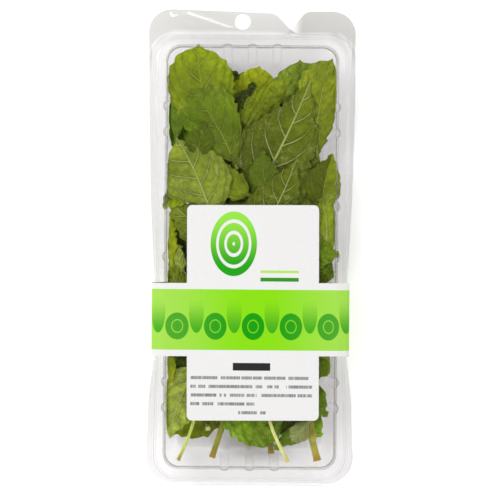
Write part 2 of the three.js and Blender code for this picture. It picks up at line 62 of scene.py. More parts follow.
camera_data = bpy.data.cameras.new("studio_camera")
camera_data.sensor_width = SENSOR
camera_data.clip_start = 0.01
camera_data.lens = SENSOR * (CAMERA_AT[2] - LID_PLANE) / VIEW_WIDTH
camera = place_object("studio_camera", camera_data)
camera.location = CAMERA_AT
camera.rotation_euler = (0, 0, CAMERA_TURN)
bpy.context.scene.camera = camera
bpy.context.scene.view_settings.view_transform = "Standard"

# ---------- floor and light ----------
# A pale table under soft light from all round, with one large lamp high on the left and smaller
# ones behind, in front and on the right, which draw the bright lines on the plastic.
TABLE_HALF = 3.0
TABLE_GLOW = 0.34
SKY_HEIGHTS = (0.75, 0.97)
SKY_STRENGTHS = (0.62, 0.05)  # dim straight overhead, where the real camera hangs


def feed(tree, node, inputs):
    """Fills a node's inputs by name or number: a socket is linked, anything else is set."""
    for name, value in inputs.items():
        if isinstance(value, bpy.types.NodeSocket):
            tree.links.new(value, node.inputs[name])
        else:
            node.inputs[name].default_value = value
    return node


def add_node(tree, kind, inputs=None, **settings):
    """A new node with its settings and its inputs."""
    node = tree.nodes.new(kind)
    for name, value in settings.items():
        setattr(node, name, value)
    return feed(tree, node, inputs or {})


def ranged(tree, value, low, high, out_low=0.0, out_high=1.0):
    """A smooth step: out_low below low and out_high above high."""
    inputs = {"Value": value, "From Min": low, "From Max": high, "To Min": out_low, "To Max": out_high}
    return add_node(tree, "ShaderNodeMapRange", inputs, interpolation_type="SMOOTHSTEP").outputs["Result"]


def new_material(name):
    """A material with its node tree and its main shader."""
    material = bpy.data.materials.new(name)
    material.use_nodes = True
    return material, material.node_tree, material.node_tree.nodes["Principled BSDF"]


def new_mesh(name, points, faces, *materials):
    mesh = bpy.data.meshes.new(name)
    mesh.from_pydata(points, [], faces)
    for material in materials:
        mesh.materials.append(material)
    return mesh


def area_lamp(name, place, size, power):
    """A soft lamp that shines at the middle of the pack."""
    data = bpy.data.lights.new(name, "AREA")
    data.shape = "RECTANGLE"
    data.size, data.size_y = size
    data.energy = power
    lamp = place_object(name, data)
    lamp.location = place
    lamp.rotation_euler = (-Vector(place)).to_track_quat("-Z", "Y").to_euler()


white_table, tree, shader = new_material("table_white")
feed(tree, shader, {"Base Color": (0.95, 0.95, 0.95, 1), "Roughness": 0.8})
feed(tree, shader, {"Emission Color": (1, 1, 1, 1), "Emission Strength": TABLE_GLOW})
corners = [(x * TABLE_HALF, y * TABLE_HALF, 0) for x, y in ((-1, -1), (1, -1), (1, 1), (-1, 1))]
table = place_object("table", new_mesh("table", corners, [(0, 1, 2, 3)], white_table))

world = bpy.data.worlds.new("studio")
world.use_nodes = True
sky = world.node_tree
around = sky.nodes.new("ShaderNodeTexCoord").outputs["Generated"]
height = add_node(sky, "ShaderNodeSeparateXYZ", {0: around}).outputs["Z"]
sky_light = {"Strength": ranged(sky, height, *SKY_HEIGHTS, *SKY_STRENGTHS), "Color": (0.98, 0.982, 0.985, 1)}
feed(sky, sky.nodes["Background"], sky_light)
bpy.context.scene.world = world
area_lamp("left_softbox", (-0.7, 0.35, 1.0), (0.5, 0.7), 7.4)
area_lamp("top_strip", (-0.15, 0.85, 0.75), (0.9, 0.12), 1.8)
area_lamp("front_fill", (0.1, -0.95, 0.8), (0.9, 0.4), 5)
area_lamp("right_strip", (0.75, 0.1, 0.55), (0.12, 0.8), 1.1)

# ---------- clear plastic ----------
# Thin clear sheet, formed while hot: nearly all light passes, the surface mirrors what is round it
# more towards its edges, and a faint waviness and haze are left from the forming.
# Painted shade greys the sheet at its folds, on its lip and most on its hang tabs, for the light the clear
# sheet bends away there.
MIRROR_FACING, MIRROR_EDGE = 0.03, 0.8
HAZE = 0.12
PAINTED_SHADE_GREY = (0.66, 0.65, 0.63)


def math_node(tree, operation, *values):
    """A Math node on numbers or sockets; gives its output socket."""
    return add_node(tree, "ShaderNodeMath", dict(enumerate(values)), operation=operation).outputs[0]


def noise_node(tree, vector, scale, detail=3, rough=0.5):
    inputs = {"Vector": vector, "Scale": scale, "Detail": detail, "Roughness": rough}
    return add_node(tree, "ShaderNodeTexNoise", inputs).outputs["Fac"]


def mixed(tree, factor, a, b, kind="MIX"):
    """A colour mix; a and b are sockets or colours."""
    first, second = ((*value, 1) if isinstance(value, tuple) else value for value in (a, b))
    inputs = {"Factor": factor, 6: first, 7: second}
    return add_node(tree, "ShaderNodeMix", inputs, data_type="RGBA", blend_type=kind).outputs[2]


def bumped(tree, height, strength, distance):
    inputs = {"Height": height, "Strength": strength, "Distance": distance}
    return add_node(tree, "ShaderNodeBump", inputs).outputs["Normal"]


def shader_mix(tree, share, a, b):
    return add_node(tree, "ShaderNodeMixShader", {0: share, 1: a, 2: b}).outputs[0]


def attribute(tree, name):
    return add_node(tree, "ShaderNodeAttribute", attribute_name=name).outputs


def own_place(tree):
    """Where a point lies in its own object, which is the pack's frame."""
    return tree.nodes.new("ShaderNodeTexCoord").outputs["Object"]


def clear_sheet(name, tint, shadow_patch=None):
    """Clear plastic; the last argument, if given, is a patch of painted shadow, greyest at its middle: x, y,
    reach, amount.
    """
    material, tree, gloss = new_material(name)
    calc = partial(math_node, tree)
    place = own_place(tree)
    waves = noise_node(tree, place, 55, 2)
    wavy = bumped(tree, waves, 0.35, 0.0006)
    feed(tree, gloss, {"Base Color": (0.95, 0.945, 0.95, 1), "Roughness": 0.09})
    feed(tree, gloss, {"Metallic": 1, "Normal": wavy})
    facing = add_node(tree, "ShaderNodeLayerWeight", {"Blend": 0.5}).outputs["Facing"]
    slope = add_node(tree, "ShaderNodeLayerWeight", {"Blend": 0.5, "Normal": wavy}).outputs["Facing"]
    # painted shade: the see-through colour greys by the amount stored on the sheet's points
    painted_shade = attribute(tree, "bend")["Fac"]
    # painted shadow: a mottled grey patch that fades out over reach mm
    if shadow_patch:
        x, y, reach, amount = shadow_patch
        ends = {0: place, 1: (x * MM, y * MM, 0)}
        away = add_node(tree, "ShaderNodeVectorMath", ends, operation="DISTANCE").outputs["Value"]
        patchy = calc("MULTIPLY_ADD", waves, 0.012, away)
        painted_shade = calc("MAXIMUM", painted_shade, ranged(tree, patchy, 0.004, reach * MM, amount, 0))
    see = add_node(tree, "ShaderNodeBsdfTransparent", {"Color": mixed(tree, painted_shade, tint, PAINTED_SHADE_GREY)})
    share = calc("MULTIPLY_ADD", calc("POWER", slope, 5.0), MIRROR_EDGE, MIRROR_FACING)
    mirrored = shader_mix(tree, share, see.outputs[0], gloss.outputs[0])
    body = add_node(tree, "ShaderNodeBsdfDiffuse", {"Color": (0.815, 0.808, 0.815, 1)})
    haze = calc("MULTIPLY", calc("POWER", facing, 4.0), HAZE)
    whole = shader_mix(tree, haze, mirrored, body.outputs[0])
    feed(tree, tree.nodes["Material Output"], {"Surface": whole})
    return material


lid_sheet = clear_sheet("clear_lid_sheet", (0.970, 0.966, 0.969))
# the tray's floor carries painted shadow at its bottom end, under the heap
tray_sheet = clear_sheet("clear_tray_sheet", (0.960, 0.956, 0.959), (3, -86, 30, 0.75))

# ---------- tray ----------
# The lower half of the pack: a deep tray with fluted, leaning walls, a ledge and a lip round its
# mouth, and a hang tab on the right. It is formed in one piece from sheet 0.4 mm thick.
SHEET = 0.4
FLOOR_MID_Z = 0.95
LIP_MID_Z = 20.15
STEP_HEIGHT = 1.3
LEDGE_MID_Z = LIP_MID_Z + STEP_HEIGHT
# outlines: half-width, top end, bottom end, corner radius, and how far the tight band pulls them in
WALL_FOOT = (31.7, 78.8, -86.4, 4.7, 0)
MOUTH = (35.4, 83.8, -91.4, 5.9, 0)
TRAY_LEDGE = (39.4, 87.7, -96.2, 10.2, 0.8)
TRAY_STEP = (40.1, 88.4, -96.9, 10.5, 1.05)
TRAY_LIP = (43.2, 89.5, -98.15, 10.9, 2.85)
WAIST_Y = [-88, -63, -47, -12, 20, 55, 88]
WAIST_PULL = [0, 0.3, 1, 1, 0.4, 0.1, 0]
FLUTE_HALF_WIDTH = 1.95
FLUTE_FOOT, FLUTE_HEAD = 1.1, 1.35  # how far a flute stands out at the floor and at the mouth
SIDE_FLUTES = [y - 3.76 for y in (63.0, 52.2, 21.3, 0, -21.3, -52.2, -63.0)]
END_FLUTES = [10.4, 0, -10.4]
CORNER_STEPS = 12
SHARP_FOLD = math.radians(40)  # cut edges stay crisp, while the rounded folds between them are smooth
TRAY_TAB = {"corner": 0, "radius": 9.5, "top": 99.3, "outer": 33.9, "shoulder": (23.4, 99.3), "foot": 12.1}
TAB_SLOPE = ([0, 0.14, 0.3, 0.58, 0.78, 0.9, 1], [1, 0.93, 0.74, 0.32, 0.09, 0.02, 0])
FLOOR_LINE = (-52, 46)  # the ends of the line that a flat bottom closes on
# painted shade on the tray's lip and tab, and the x from which the tab's shade grows
TRAY_LIP_SHADE, TRAY_TAB_SHADE, TRAY_TAB_FROM = 0.04, 0.68, 17.5
LIP_BAND, LIP_FADE = 3.2, 0.8
TAB_START, TAB_FADE, TAB_SIDE_FADE = 0.6, 1.6, 3


def wall_marks(flutes, low, high, step=4.0):
    """Places along a wall from low to high, finer across each flute, with the flute's depth there."""
    across = np.sin(np.linspace(-np.pi / 2, np.pi / 2, 9))
    marks = {}
    for place in np.arange(low, high + step / 2, step):
        if all(abs(place - c) > FLUTE_HALF_WIDTH + 0.6 for c in flutes):
            marks[round(float(place), 3)] = 0.0
    for centre in flutes:
        for edge in (-FLUTE_HALF_WIDTH - 0.35, FLUTE_HALF_WIDTH + 0.35):
            marks[round(centre + edge, 3)] = 0.0
        for u in across:
            marks[round(centre + u * FLUTE_HALF_WIDTH, 3)] = float(np.sqrt(max(0.0, 1 - u * u)) ** 0.9)
    return sorted(marks.items())


def corner_points(x, y, radius, start):
    angles = np.radians(start + np.linspace(0, 90, CORNER_STEPS + 1))
    return [(x + radius * math.cos(a), y + radius * math.sin(a)) for a in angles]


def tab_edge(tab, rim_y, x):
    """The y of the top edge at x: along the tab, down its slope, and on at the rim's own height."""
    shoulder_x, shoulder_y = tab["shoulder"]
    down = (x - shoulder_x) / (tab["foot"] - shoulder_x)
    if down > 0:
        return rim_y + (shoulder_y - rim_y) * float(np.interp(down, *TAB_SLOPE))
    share = (x - shoulder_x) / (tab["outer"] - shoulder_x)
    return shoulder_y + (tab["top"] - shoulder_y) * share


def ring(marks, outline, z, flute=0.0, tab=None):
    """One run round the pack at height z, anticlockwise from the lower right, as an array in mm."""
    half_width, top, bottom, radius, waist = outline
    sides, tops, bottoms = marks
    corners = [(top, radius), (top, radius)]
    if tab:
        corners[tab["corner"]] = (tab["top"], tab["radius"])
    (right_y, right_r), (left_y, left_r) = corners

    def side(sign):
        pulls = [waist * float(np.interp(y, WAIST_Y, WAIST_PULL)) for y, _ in sides]
        return [(sign * (half_width - pull + depth * flute), y) for pull, (y, depth) in zip(pulls, sides)]

    def edge(x):
        return tab_edge(tab, top, x) if tab else top

    points = side(1)
    points += corner_points(half_width - right_r, right_y - right_r, right_r, 0)
    points += [(x, edge(x) + depth * flute) for x, depth in reversed(tops)]
    points += corner_points(left_r - half_width, left_y - left_r, left_r, 90)
    points += side(-1)[::-1]
    points += corner_points(radius - half_width, bottom + radius, radius, 180)
    points += [(x, bottom - depth * flute) for x, depth in bottoms]
    points += corner_points(half_width - radius, bottom + radius, radius, 270)
    return np.array([(x, y, z) for x, y in points])


def round_folds(rings, fillets, fold_shade_peaks, steps=4):
    """Rounds each inner ring of a run, at a radius of about fillets mm, into a few rings. The painted fold
    shade of each ring made is 0 on the flats and goes up to the fold's own peak in its middle."""
    done, fold_shades = [rings[0]], [0.0]
    for before, here, after, fillet, depth in zip(rings, rings[1:], rings[2:], fillets, fold_shade_peaks):
        start, end = (
            here + way * np.minimum(fillet / (np.linalg.norm(way, axis=1, keepdims=True) + 1e-9), 0.45)
            for way in (before - here, after - here)
        )
        for t in np.linspace(0, 1, steps + 1):
            done.append((1 - t) ** 2 * start + 2 * t * (1 - t) * here + t * t * end)
            fold_shades.append(depth * math.sin(math.pi * t))
    return done + [rings[-1]], fold_shades + [0.0]


def shrunk(base, share):
    """A ring pulled towards the pack's long middle line, for the rings of a flat bottom."""
    middle = base.copy()
    middle[:, 0] = 0
    middle[:, 1] = np.clip(base[:, 1], *FLOOR_LINE)
    return middle + (base - middle) * share


def beyond(outline, x, y):
    """How far outside a rounded outline each point lies, in mm; negative inside it."""
    half_width, top, bottom, radius, _ = outline
    qx = np.abs(x) - half_width + radius
    qy = np.abs(y - (top + bottom) / 2) - (top - bottom) / 2 + radius
    return np.hypot(np.maximum(qx, 0), np.maximum(qy, 0)) + np.minimum(np.maximum(qx, qy), 0) - radius


def store(mesh, name, values):
    """Keeps a number or a triple on each point of a mesh, for its material to read by name."""
    values = np.asarray(values, dtype=np.float32)
    kind, key = ("FLOAT", "value") if values.ndim == 1 else ("FLOAT_VECTOR", "vector")
    mesh.attributes.new(name, kind, "POINT").data.foreach_set(key, values.ravel())


def smooth(mesh):
    mesh.polygons.foreach_set("use_smooth", [True] * len(mesh.polygons))


def loft_sheet(name, rings, fold_shades, material, lip, lip_shade, tab_shade, tab_from=-60):
    """A sheet through rings, closed in the middle of the first one, with smooth faces. Its points carry the
    painted shade that greys the sheet: at the folds, on the lip, and most on the tab."""
    count = len(rings[0])
    vertices = np.concatenate(rings)
    out = beyond(lip, vertices[:, 0], vertices[:, 1])
    on_lip = lip_shade * np.clip((out + LIP_BAND) / LIP_FADE, 0, 1)
    on_tab = tab_shade * np.clip((out + TAB_START) / TAB_FADE, 0, 1)
    on_tab *= np.clip((vertices[:, 0] - tab_from) / TAB_SIDE_FADE, 0, 1)
    i = np.arange(count)
    quads = []
    for r in range(len(rings) - 1):
        a = r * count + i
        b = r * count + (i + 1) % count
        quads.append(np.stack([a, b, b + count, a + count], axis=1))
    faces = [tuple(q) for q in np.concatenate(quads).tolist()] + [tuple(range(count))[::-1]]
    mesh = new_mesh(name, (vertices * MM).tolist(), faces, material)
    smooth(mesh)
    store(mesh, "bend", np.maximum(np.repeat(fold_shades, count), np.maximum(on_lip, on_tab)))
    made = place_object(name, mesh)
    thicken(made, SHEET)
    return made


def thicken(piece, thickness, inner=None):
    """Gives a sheet its thickness, and its inner face its own material where one is named."""
    solid = piece.modifiers.new("thickness", "SOLIDIFY")
    solid.thickness = thickness * MM
    solid.offset = 0
    if inner is not None:
        piece.data.materials.append(inner)
        solid.material_offset = 1
    apply_modifiers(piece)


def apply_modifiers(piece):
    """Makes what an object's modifiers give its own mesh."""
    evaluated = piece.evaluated_get(bpy.context.evaluated_depsgraph_get())
    mesh = bpy.data.meshes.new_from_object(evaluated)
    piece.modifiers.clear()
    piece.data = mesh


tray_marks = (
    wall_marks(SIDE_FLUTES, -76, 72),
    wall_marks(END_FLUTES, -25.5, 25.5, step=1.5),
    wall_marks(END_FLUTES, -25.5, 25.5, step=4),
)
tray_ring = partial(ring, tray_marks)
floor_rim = tray_ring(WALL_FOOT, FLOOR_MID_Z, flute=FLUTE_FOOT)
tray_step = tray_ring(TRAY_STEP, LIP_MID_Z)
tray_edge = tray_ring(TRAY_LIP, LIP_MID_Z, tab=TRAY_TAB)
tray_rim = [tray_step + (tray_edge - tray_step) * share for share in (0.25, 0.4, 0.6, 0.8, 1)]
tray_floor = [shrunk(floor_rim, share) for share in (0.03, 0.4, 0.75, 0.93)]
# the folds' fillet radii, then each fold's peak of painted shade
folded, tray_fold_shades = round_folds(
    [
        shrunk(floor_rim, 0.97),
        floor_rim,
        tray_ring(MOUTH, LEDGE_MID_Z, flute=FLUTE_HEAD),
        tray_ring(TRAY_LEDGE, LEDGE_MID_Z),
        tray_step,
        tray_rim[0],
    ],
    [1.6, 0.5, 0.45, 0.45],
    [0.1, 1.0, 0.3, 0.3],
)
tray_rings = tray_floor + folded + tray_rim[1:]
tray_fold_shades = [0.0] * len(tray_floor) + tray_fold_shades + [0.0] * len(tray_rim[1:])
tray_shades = (TRAY_LIP_SHADE, TRAY_TAB_SHADE, TRAY_TAB_FROM)
tray = loft_sheet("tray_shell", tray_rings, tray_fold_shades, tray_sheet, TRAY_LIP, *tray_shades)
tray.data.set_sharp_from_angle(angle=SHARP_FOLD)
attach(tray, "tray")
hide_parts("tray")

# ---------- tray feet ----------
# Four shallow round cups pressed down out of the tray's floor, which the pack stands on. They are
# formed with the tray, from the same sheet, with leaning sides and a flat bottom.
FEET = {
    "Spacing X": 48 * MM,
    "Spacing Y": 144 * MM,
    "Rim": 3.3 * MM,
    "Sole": 2.4 * MM,
    "Drop": 0.62 * MM,
    "Middle": (0.0, -4 * MM, 0.2 * MM),
}
FOOT_SHEET = 0.36
FOOT_SIDES = 32
SOCKET_KINDS = {float: "Float", int: "Int", tuple: "Vector", type(None): "Geometry"}


def new_tree(name, inputs):
    """A Geometry Nodes tree that takes these inputs; gives it, what they feed, and their identifiers."""
    group = bpy.data.node_groups.new(name, "GeometryNodeTree")
    names = {}
    for label, value in inputs.items():
        kind = "NodeSocket" + SOCKET_KINDS[type(value)]
        socket = group.interface.new_socket(name=label, in_out="INPUT", socket_type=kind)
        if value is not None:
            socket.default_value = value
        names[label] = socket.identifier
    return group, group.nodes.new("NodeGroupInput").outputs, names


def finish_tree(group, geometry, material):
    """Ends a node tree: its instances are made real and take their material."""
    group.interface.new_socket(name="Result", in_out="OUTPUT", socket_type="NodeSocketGeometry")
    real = add_node(group, "GeometryNodeRealizeInstances", {"Geometry": geometry}).outputs[0]
    painted = add_node(group, "GeometryNodeSetMaterial", {"Geometry": real, "Material": material})
    add_node(group, "NodeGroupOutput", {"Result": painted.outputs[0]})


def grown(name, source, group, names, values):
    """What a tree makes of an object with these values, as a plain object; the source is removed."""
    modifier = source.modifiers.new("tree", "NODES")
    modifier.node_group = group
    for label, value in values.items():
        if value is not None:
            modifier[names[label]] = value
    mesh = bpy.data.meshes.new_from_object(source.evaluated_get(bpy.context.evaluated_depsgraph_get()))
    bpy.data.objects.remove(source)
    smooth(mesh)
    return place_object(name, mesh)


group, start, names = new_tree("tray_feet", FEET)
rows = {"Vertices X": 2, "Vertices Y": 2, "Size X": start["Spacing X"], "Size Y": start["Spacing Y"]}
grid = add_node(group, "GeometryNodeMeshGrid", rows).outputs["Mesh"]
sides = {"Vertices": FOOT_SIDES, "Side Segments": 3, "Depth": start["Drop"]}
sides.update({"Radius Top": start["Rim"], "Radius Bottom": start["Sole"]})
wall = add_node(group, "GeometryNodeMeshCone", sides, fill_type="NONE").outputs["Mesh"]
disc = {"Vertices": FOOT_SIDES, "Radius": start["Sole"]}
sole = add_node(group, "GeometryNodeMeshCircle", disc, fill_type="NGON").outputs["Mesh"]
cup = add_node(group, "GeometryNodeJoinGeometry", {"Geometry": wall})
feed(group, cup, {"Geometry": add_node(group, "GeometryNodeFlipFaces", {"Mesh": sole}).outputs["Mesh"]})
seam = {"Geometry": cup.outputs[0], "Distance": 0.02 * MM}
welded = add_node(group, "GeometryNodeMergeByDistance", seam).outputs[0]
moved = add_node(group, "GeometryNodeSetPosition", {"Geometry": grid, "Offset": start["Middle"]}).outputs[0]
each = add_node(group, "GeometryNodeInstanceOnPoints", {"Points": moved, "Instance": welded}).outputs[0]
finish_tree(group, each, tray_sheet)
feet_base = place_object("feet_base", bpy.data.meshes.new("feet_base"))
feet = grown("tray_feet", feet_base, group, names, FEET)
thicken(feet, FOOT_SHEET)
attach(feet, "tray")

# ---------- hinge ----------
# The fold that joins lid and tray along the bottom end: a narrow roll of the same sheet, crimped
# at even steps so that it bends easily.
HINGE_HALF, HINGE_ROLL, CRIMP_DEPTH, CRIMP_STEP = 31.0, 0.48, 0.08, 3.1
HINGE = {
    "Half": (HINGE_HALF * MM, 0.0, 0.0),
    "Middle": (0.0, -99.3 * MM, 20.55 * MM),
    "Roll": HINGE_ROLL * MM,
    "Crimp": CRIMP_DEPTH / HINGE_ROLL,
    "Crimps": HINGE_HALF / CRIMP_STEP,
    "Steps": 241,
}


def swept(group, curve, profile, thickness):
    """A profile swept along a curve and capped, as thick at each point as thickness says."""
    inputs = {"Curve": curve, "Profile Curve": profile, "Scale": thickness, "Fill Caps": True}
    return add_node(group, "GeometryNodeCurveToMesh", inputs).outputs["Mesh"]


group, start, names = new_tree("hinge_roll", HINGE)
reach = {0: start["Middle"], 1: start["Half"]}
left, right = (
    add_node(group, "ShaderNodeVectorMath", reach, operation=way).outputs[0] for way in ("SUBTRACT", "ADD")
)
line = add_node(group, "GeometryNodeCurvePrimitiveLine", {"Start": left, "End": right}).outputs["Curve"]
steps = {"Curve": line, "Count": start["Steps"]}
stepped = add_node(group, "GeometryNodeResampleCurve", steps).outputs["Curve"]
calc = partial(math_node, group)
turns = calc("MULTIPLY", group.nodes.new("GeometryNodeSplineParameter").outputs["Factor"], math.tau)
wave = calc("COSINE", calc("MULTIPLY", turns, start["Crimps"]))
pinch = calc("MULTIPLY", calc("POWER", calc("ABSOLUTE", wave), 8.0), start["Crimp"])
wire = {"Resolution": 12, "Radius": start["Roll"]}
wire = add_node(group, "GeometryNodeCurvePrimitiveCircle", wire).outputs["Curve"]
finish_tree(group, swept(group, stepped, wire, calc("SUBTRACT", 1.0, pinch)), tray_sheet)
hinge_base = place_object("hinge_base", bpy.data.meshes.new("hinge_base"))
hinge = grown("hinge_roll", hinge_base, group, names, HINGE)
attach(hinge, "tray")

# ---------- lid ----------
# The upper half: a flat raised panel, a riser, a ledge and a lip that nest over the tray's, and the
# hang tab on the left with its punched hole. The tab's thin sheet has warped into a soft ridge.
LID_LIP_MID_Z = 20.95
LID_LEDGE_MID_Z = LID_LIP_MID_Z + STEP_HEIGHT
PANEL_MID_Z = LID_LEDGE_MID_Z + 1.5
PANEL = (35.2, 83.8, -91.3, 5.8, 0)
RISER_FOOT = (35.9, 84.5, -92.0, 6.2, 0)
LID_LEDGE = (40.2, 88.4, -97.0, 10.5, 0.8)
LID_STEP = (40.9, 89.0, -97.7, 10.7, 1.05)
LID_LIP = (43.4, 89.7, -99.1, 11.2, 2.85)
LID_TAB = {"corner": 1, "radius": 9.5, "top": 99.7, "outer": -34.1, "shoulder": (8.0, 98.4), "foot": 19.7}
# painted shade on the lid's lip and tab
LID_LIP_SHADE, LID_TAB_SHADE = 0.07, 0.52
HANG_HOLE = (-4.2, 94.6, 3.25)
HOLE_SIDES = 48
HOLE_EDGE = 0.4
TAB_RIDGE = [(-31, 97.6), (-18, 93.4), (-8, 89.9), (20, 88.4)]
RIDGE_RISE, RIDGE_WIDTH = 1.15, 2.3
RIDGE_FROM, RIDGE_GROWTH = 88.9, 1.6
LIP_RINGS = 12

lid_marks = (wall_marks([], -76, 72), wall_marks([], -28, 28, step=1.0), wall_marks([], -28, 28, step=4))
lid_ring = partial(ring, lid_marks)


def ridge_height(points):
    """How far the warped tab stands up at each point: a soft ridge along a line of points."""
    best = np.full(len(points), 1e9)
    for (ax, ay), (bx, by) in zip(TAB_RIDGE, TAB_RIDGE[1:]):
        run = np.array([bx - ax, by - ay])
        t = np.clip(((points[:, :2] - (ax, ay)) @ run) / (run @ run), 0, 1)
        best = np.minimum(best, np.linalg.norm(points[:, :2] - (ax, ay) - t[:, None] * run, axis=1))
    on_tab = np.clip((points[:, 1] - RIDGE_FROM) / RIDGE_GROWTH, 0, 1)
    return RIDGE_RISE * on_tab * np.exp(-((best / RIDGE_WIDTH) ** 2))


panel_rim = lid_ring(PANEL, PANEL_MID_Z)
step_rim = lid_ring(LID_STEP, LID_LIP_MID_Z)
lip_rim = lid_ring(LID_LIP, LID_LIP_MID_Z, tab=LID_TAB)
lid_panel = [shrunk(panel_rim, share) for share in (0.03, 0.3, 0.6, 0.85, 0.96)]
# the folds' fillet radii, then each fold's peak of painted shade
folded, lid_fold_shades = round_folds(
    [
        shrunk(panel_rim, 0.98),
        panel_rim,
        lid_ring(RISER_FOOT, LID_LEDGE_MID_Z),
        lid_ring(LID_LEDGE, LID_LEDGE_MID_Z),
        step_rim,
        step_rim + (lip_rim - step_rim) * 0.25,
    ],
    [0.55, 0.5, 0.45, 0.45],
    [1.0, 0.9, 0.35, 0.3],
)
lid_lip = [step_rim + (lip_rim - step_rim) * share for share in np.linspace(0.33, 1, LIP_RINGS)]
lid_rings = lid_panel + folded + lid_lip
lid_fold_shades = [0.0] * len(lid_panel) + lid_fold_shades + [0.0] * LIP_RINGS
for lid_run in lid_rings:
    lid_run[:, 2] += ridge_height(lid_run)
lid = loft_sheet("lid_shell", lid_rings, lid_fold_shades, lid_sheet, LID_LIP, LID_LIP_SHADE, LID_TAB_SHADE)

hole_x, hole_y, hole_r = HANG_HOLE
turn = np.linspace(0, 2 * np.pi, HOLE_SIDES, endpoint=False)
punch_points = [
    ((hole_x + hole_r * math.cos(a)) * MM, (hole_y + hole_r * math.sin(a)) * MM, z * MM)
    for z in (18.0, 24.0)
    for a in turn
]
around = [(k, (k + 1) % HOLE_SIDES) for k in range(HOLE_SIDES)]
punch_faces = [(a, b, HOLE_SIDES + b, HOLE_SIDES + a) for a, b in around]
punch_faces += [tuple(range(HOLE_SIDES))[::-1], tuple(range(HOLE_SIDES, 2 * HOLE_SIDES))]
punch = place_object("punch", new_mesh("punch", punch_points, punch_faces))
cut = lid.modifiers.new("hang_hole", "BOOLEAN")
cut.operation = "DIFFERENCE"
cut.object = punch
cut.solver = "EXACT"
apply_modifiers(lid)
bpy.data.objects.remove(punch)
# the tab's painted shade runs up to the punched hole's edge
for vertex, painted_shade in zip(lid.data.vertices, lid.data.attributes["bend"].data):
    if math.hypot(vertex.co.x / MM - hole_x, vertex.co.y / MM - hole_y) < hole_r + HOLE_EDGE:
        painted_shade.value = LID_TAB_SHADE
lid.data.set_sharp_from_angle(angle=SHARP_FOLD)
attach(lid, "lid")
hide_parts("lid")

# ---------- mint stems ----------
# Six cut stems lie one over another along the tray, each slightly squared as mint stems are, with a
# knot at every pair of leaves and a brown cut foot. The cut ends sink to the tray's floor.
HEAP_BOTTOM, HEAP_TOP, HEAP_LAYERS = 1.3, 22.6, 6
SWELL = 1.2
STEM_POINTS = 90
LEAF_HABIT = {  # what a leaf is like where its own row doesn't say
    "broad": 0.4,  # where along it the blade is widest
    "keen": 0.92,  # how evenly it narrows to its tip
    "fold": 0.07,  # how far its halves rise from the midrib
    "curl": 0.5,  # how far its edges turn down, in mm
    "lift": 0.0,  # how much higher its tip lies than its root, in mm
    "lean": 0.0,  # how much wider its right half is
    "rough": 1.0,  # how crinkled it is
    "tuck": 0,  # 1 where it reaches out over the ledge, under the lid
    "shade": (0.85, 1.1),  # painted light and shade: its tone at the root and at the tip
    "sides": (1, 1),  # painted light and shade: its tone left and right of the midrib
}
SPRIGS = {}


def leaf(at, tip, width, bend, look, **more):
    """A leaf: where on its stem it grows, its tip, width, sideways bend, look, and what sets it apart."""
    return at, np.array(tip), width, bend, look, {**LEAF_HABIT, **more}


def sprig(name, radii, bark, stem, *leaves, end_lift=0):
    """A cut sprig: its stem's thickness at foot and tip, its colour and its line, then its leaves."""
    line = [np.array(point) for point in stem]
    SPRIGS[name] = (len(SPRIGS), radii, bark, line, leaves, end_lift)


sprig(
    "sprig_1", (1.0, 0.5), (0.62, 0.72, 0.30),
    [(-17.6, -76.4), (-19, -68), (-22, -45), (-24, -15), (-24, 15), (-22, 40), (-20, 57)],
    leaf(0.09, (-34, -78.6), 12, -1, "sun", z=10.5, lift=-2, root=(-11, -68), shade=(0.35, 0.95)),
    leaf(0.06, (-6, -73), 13, -2, "back"),
    leaf(0.28, (-30, -18), 16, -2, "leafy"),
    leaf(0.29, (-4, -22), 18, 2, "back"),
    leaf(0.52, (-29, 15), 15, -2, "leafy"),
    leaf(0.53, (-7, 12), 19, 2, "back"),
    leaf(0.80, (-31, 68), 15, -3, "leafy", z=15, shade=(0.85, 0.9)),
    leaf(1, (-10, 71), 17, 2, "deep", z=9),
    end_lift=9,
)
sprig(
    "sprig_2", (1.4, 0.55), (0.40, 0.36, 0.10),
    [(9.3, -87.2), (8.8, -78), (10, -50), (12, -20), (12, 10), (8, 40), (0, 59)],
    leaf(0.10, (15, -80.5), 21, -2, "deep", z=12, root=(15, -56), broad=0.6, keen=0.5, shade=(0.85, 1.2)),
    leaf(0.22, (-9, -40), 18, -2, "leafy"),
    leaf(0.23, (29, -36), 17, 2, "back"),
    leaf(0.44, (-8, 2), 20, -2, "leafy"),
    leaf(0.45, (30, 4), 17, 2, "back"),
    leaf(0.66, (-6, 40), 22, -2, "deep"),
    leaf(0.67, (30, 36), 18, 2, "deep"),
    leaf(1, (-19, 80), 19, -3, "deep", z=12),
    leaf(1, (9, 69), 18, 1, "deep", z=12),
)
sprig(
    "sprig_3", (1.45, 0.6), (0.34, 0.35, 0.03),
    [(-15.8, -88.7), (-11.7, -75.2), (-7, -55), (-5, -25), (-4, 5), (-3, 30), (2, 50)],
    leaf(0.19, (12.3, -81.6), 25, 0.5, "fresh", z=15, lift=-2, rough=3.2, root=(-13, -57),
         broad=0.5, keen=0.6, shade=(0.8, 1.08)),
    leaf(0.27, (-33.6, -80.0), 21, 2.5, "pale", z=19.5, lift=-1, rough=1.5, root=(-20, -49),
         shade=(1.0, 1.08)),
    leaf(0.34, (-25, -22), 20, -2, "back"),
    leaf(0.35, (16, -18), 20, 2, "leafy"),
    leaf(0.62, (-25, 24), 21, -2, "deep"),
    leaf(0.63, (17, 26), 24, 2, "deep"),
    leaf(0.83, (-20, 56), 24, -2, "deep", z=13.5),
    leaf(1, (17.5, 74), 20, 2, "deep", z=14),
    leaf(0.97, (-22.5, 85.6), 26, -5.5, "sun", z=20.3, lift=1.5, rough=1.3, bite=1.4,
         broad=0.63, keen=0.45, root=(-5, 37), tuck=1, shade=(0.5, 1.05)),
    leaf(0.98, (3, 76.8), 18, -1, "lemon", z=15.6, broad=0.55, keen=0.5, bite=1.2, shade=(0.55, 1.1)),
)
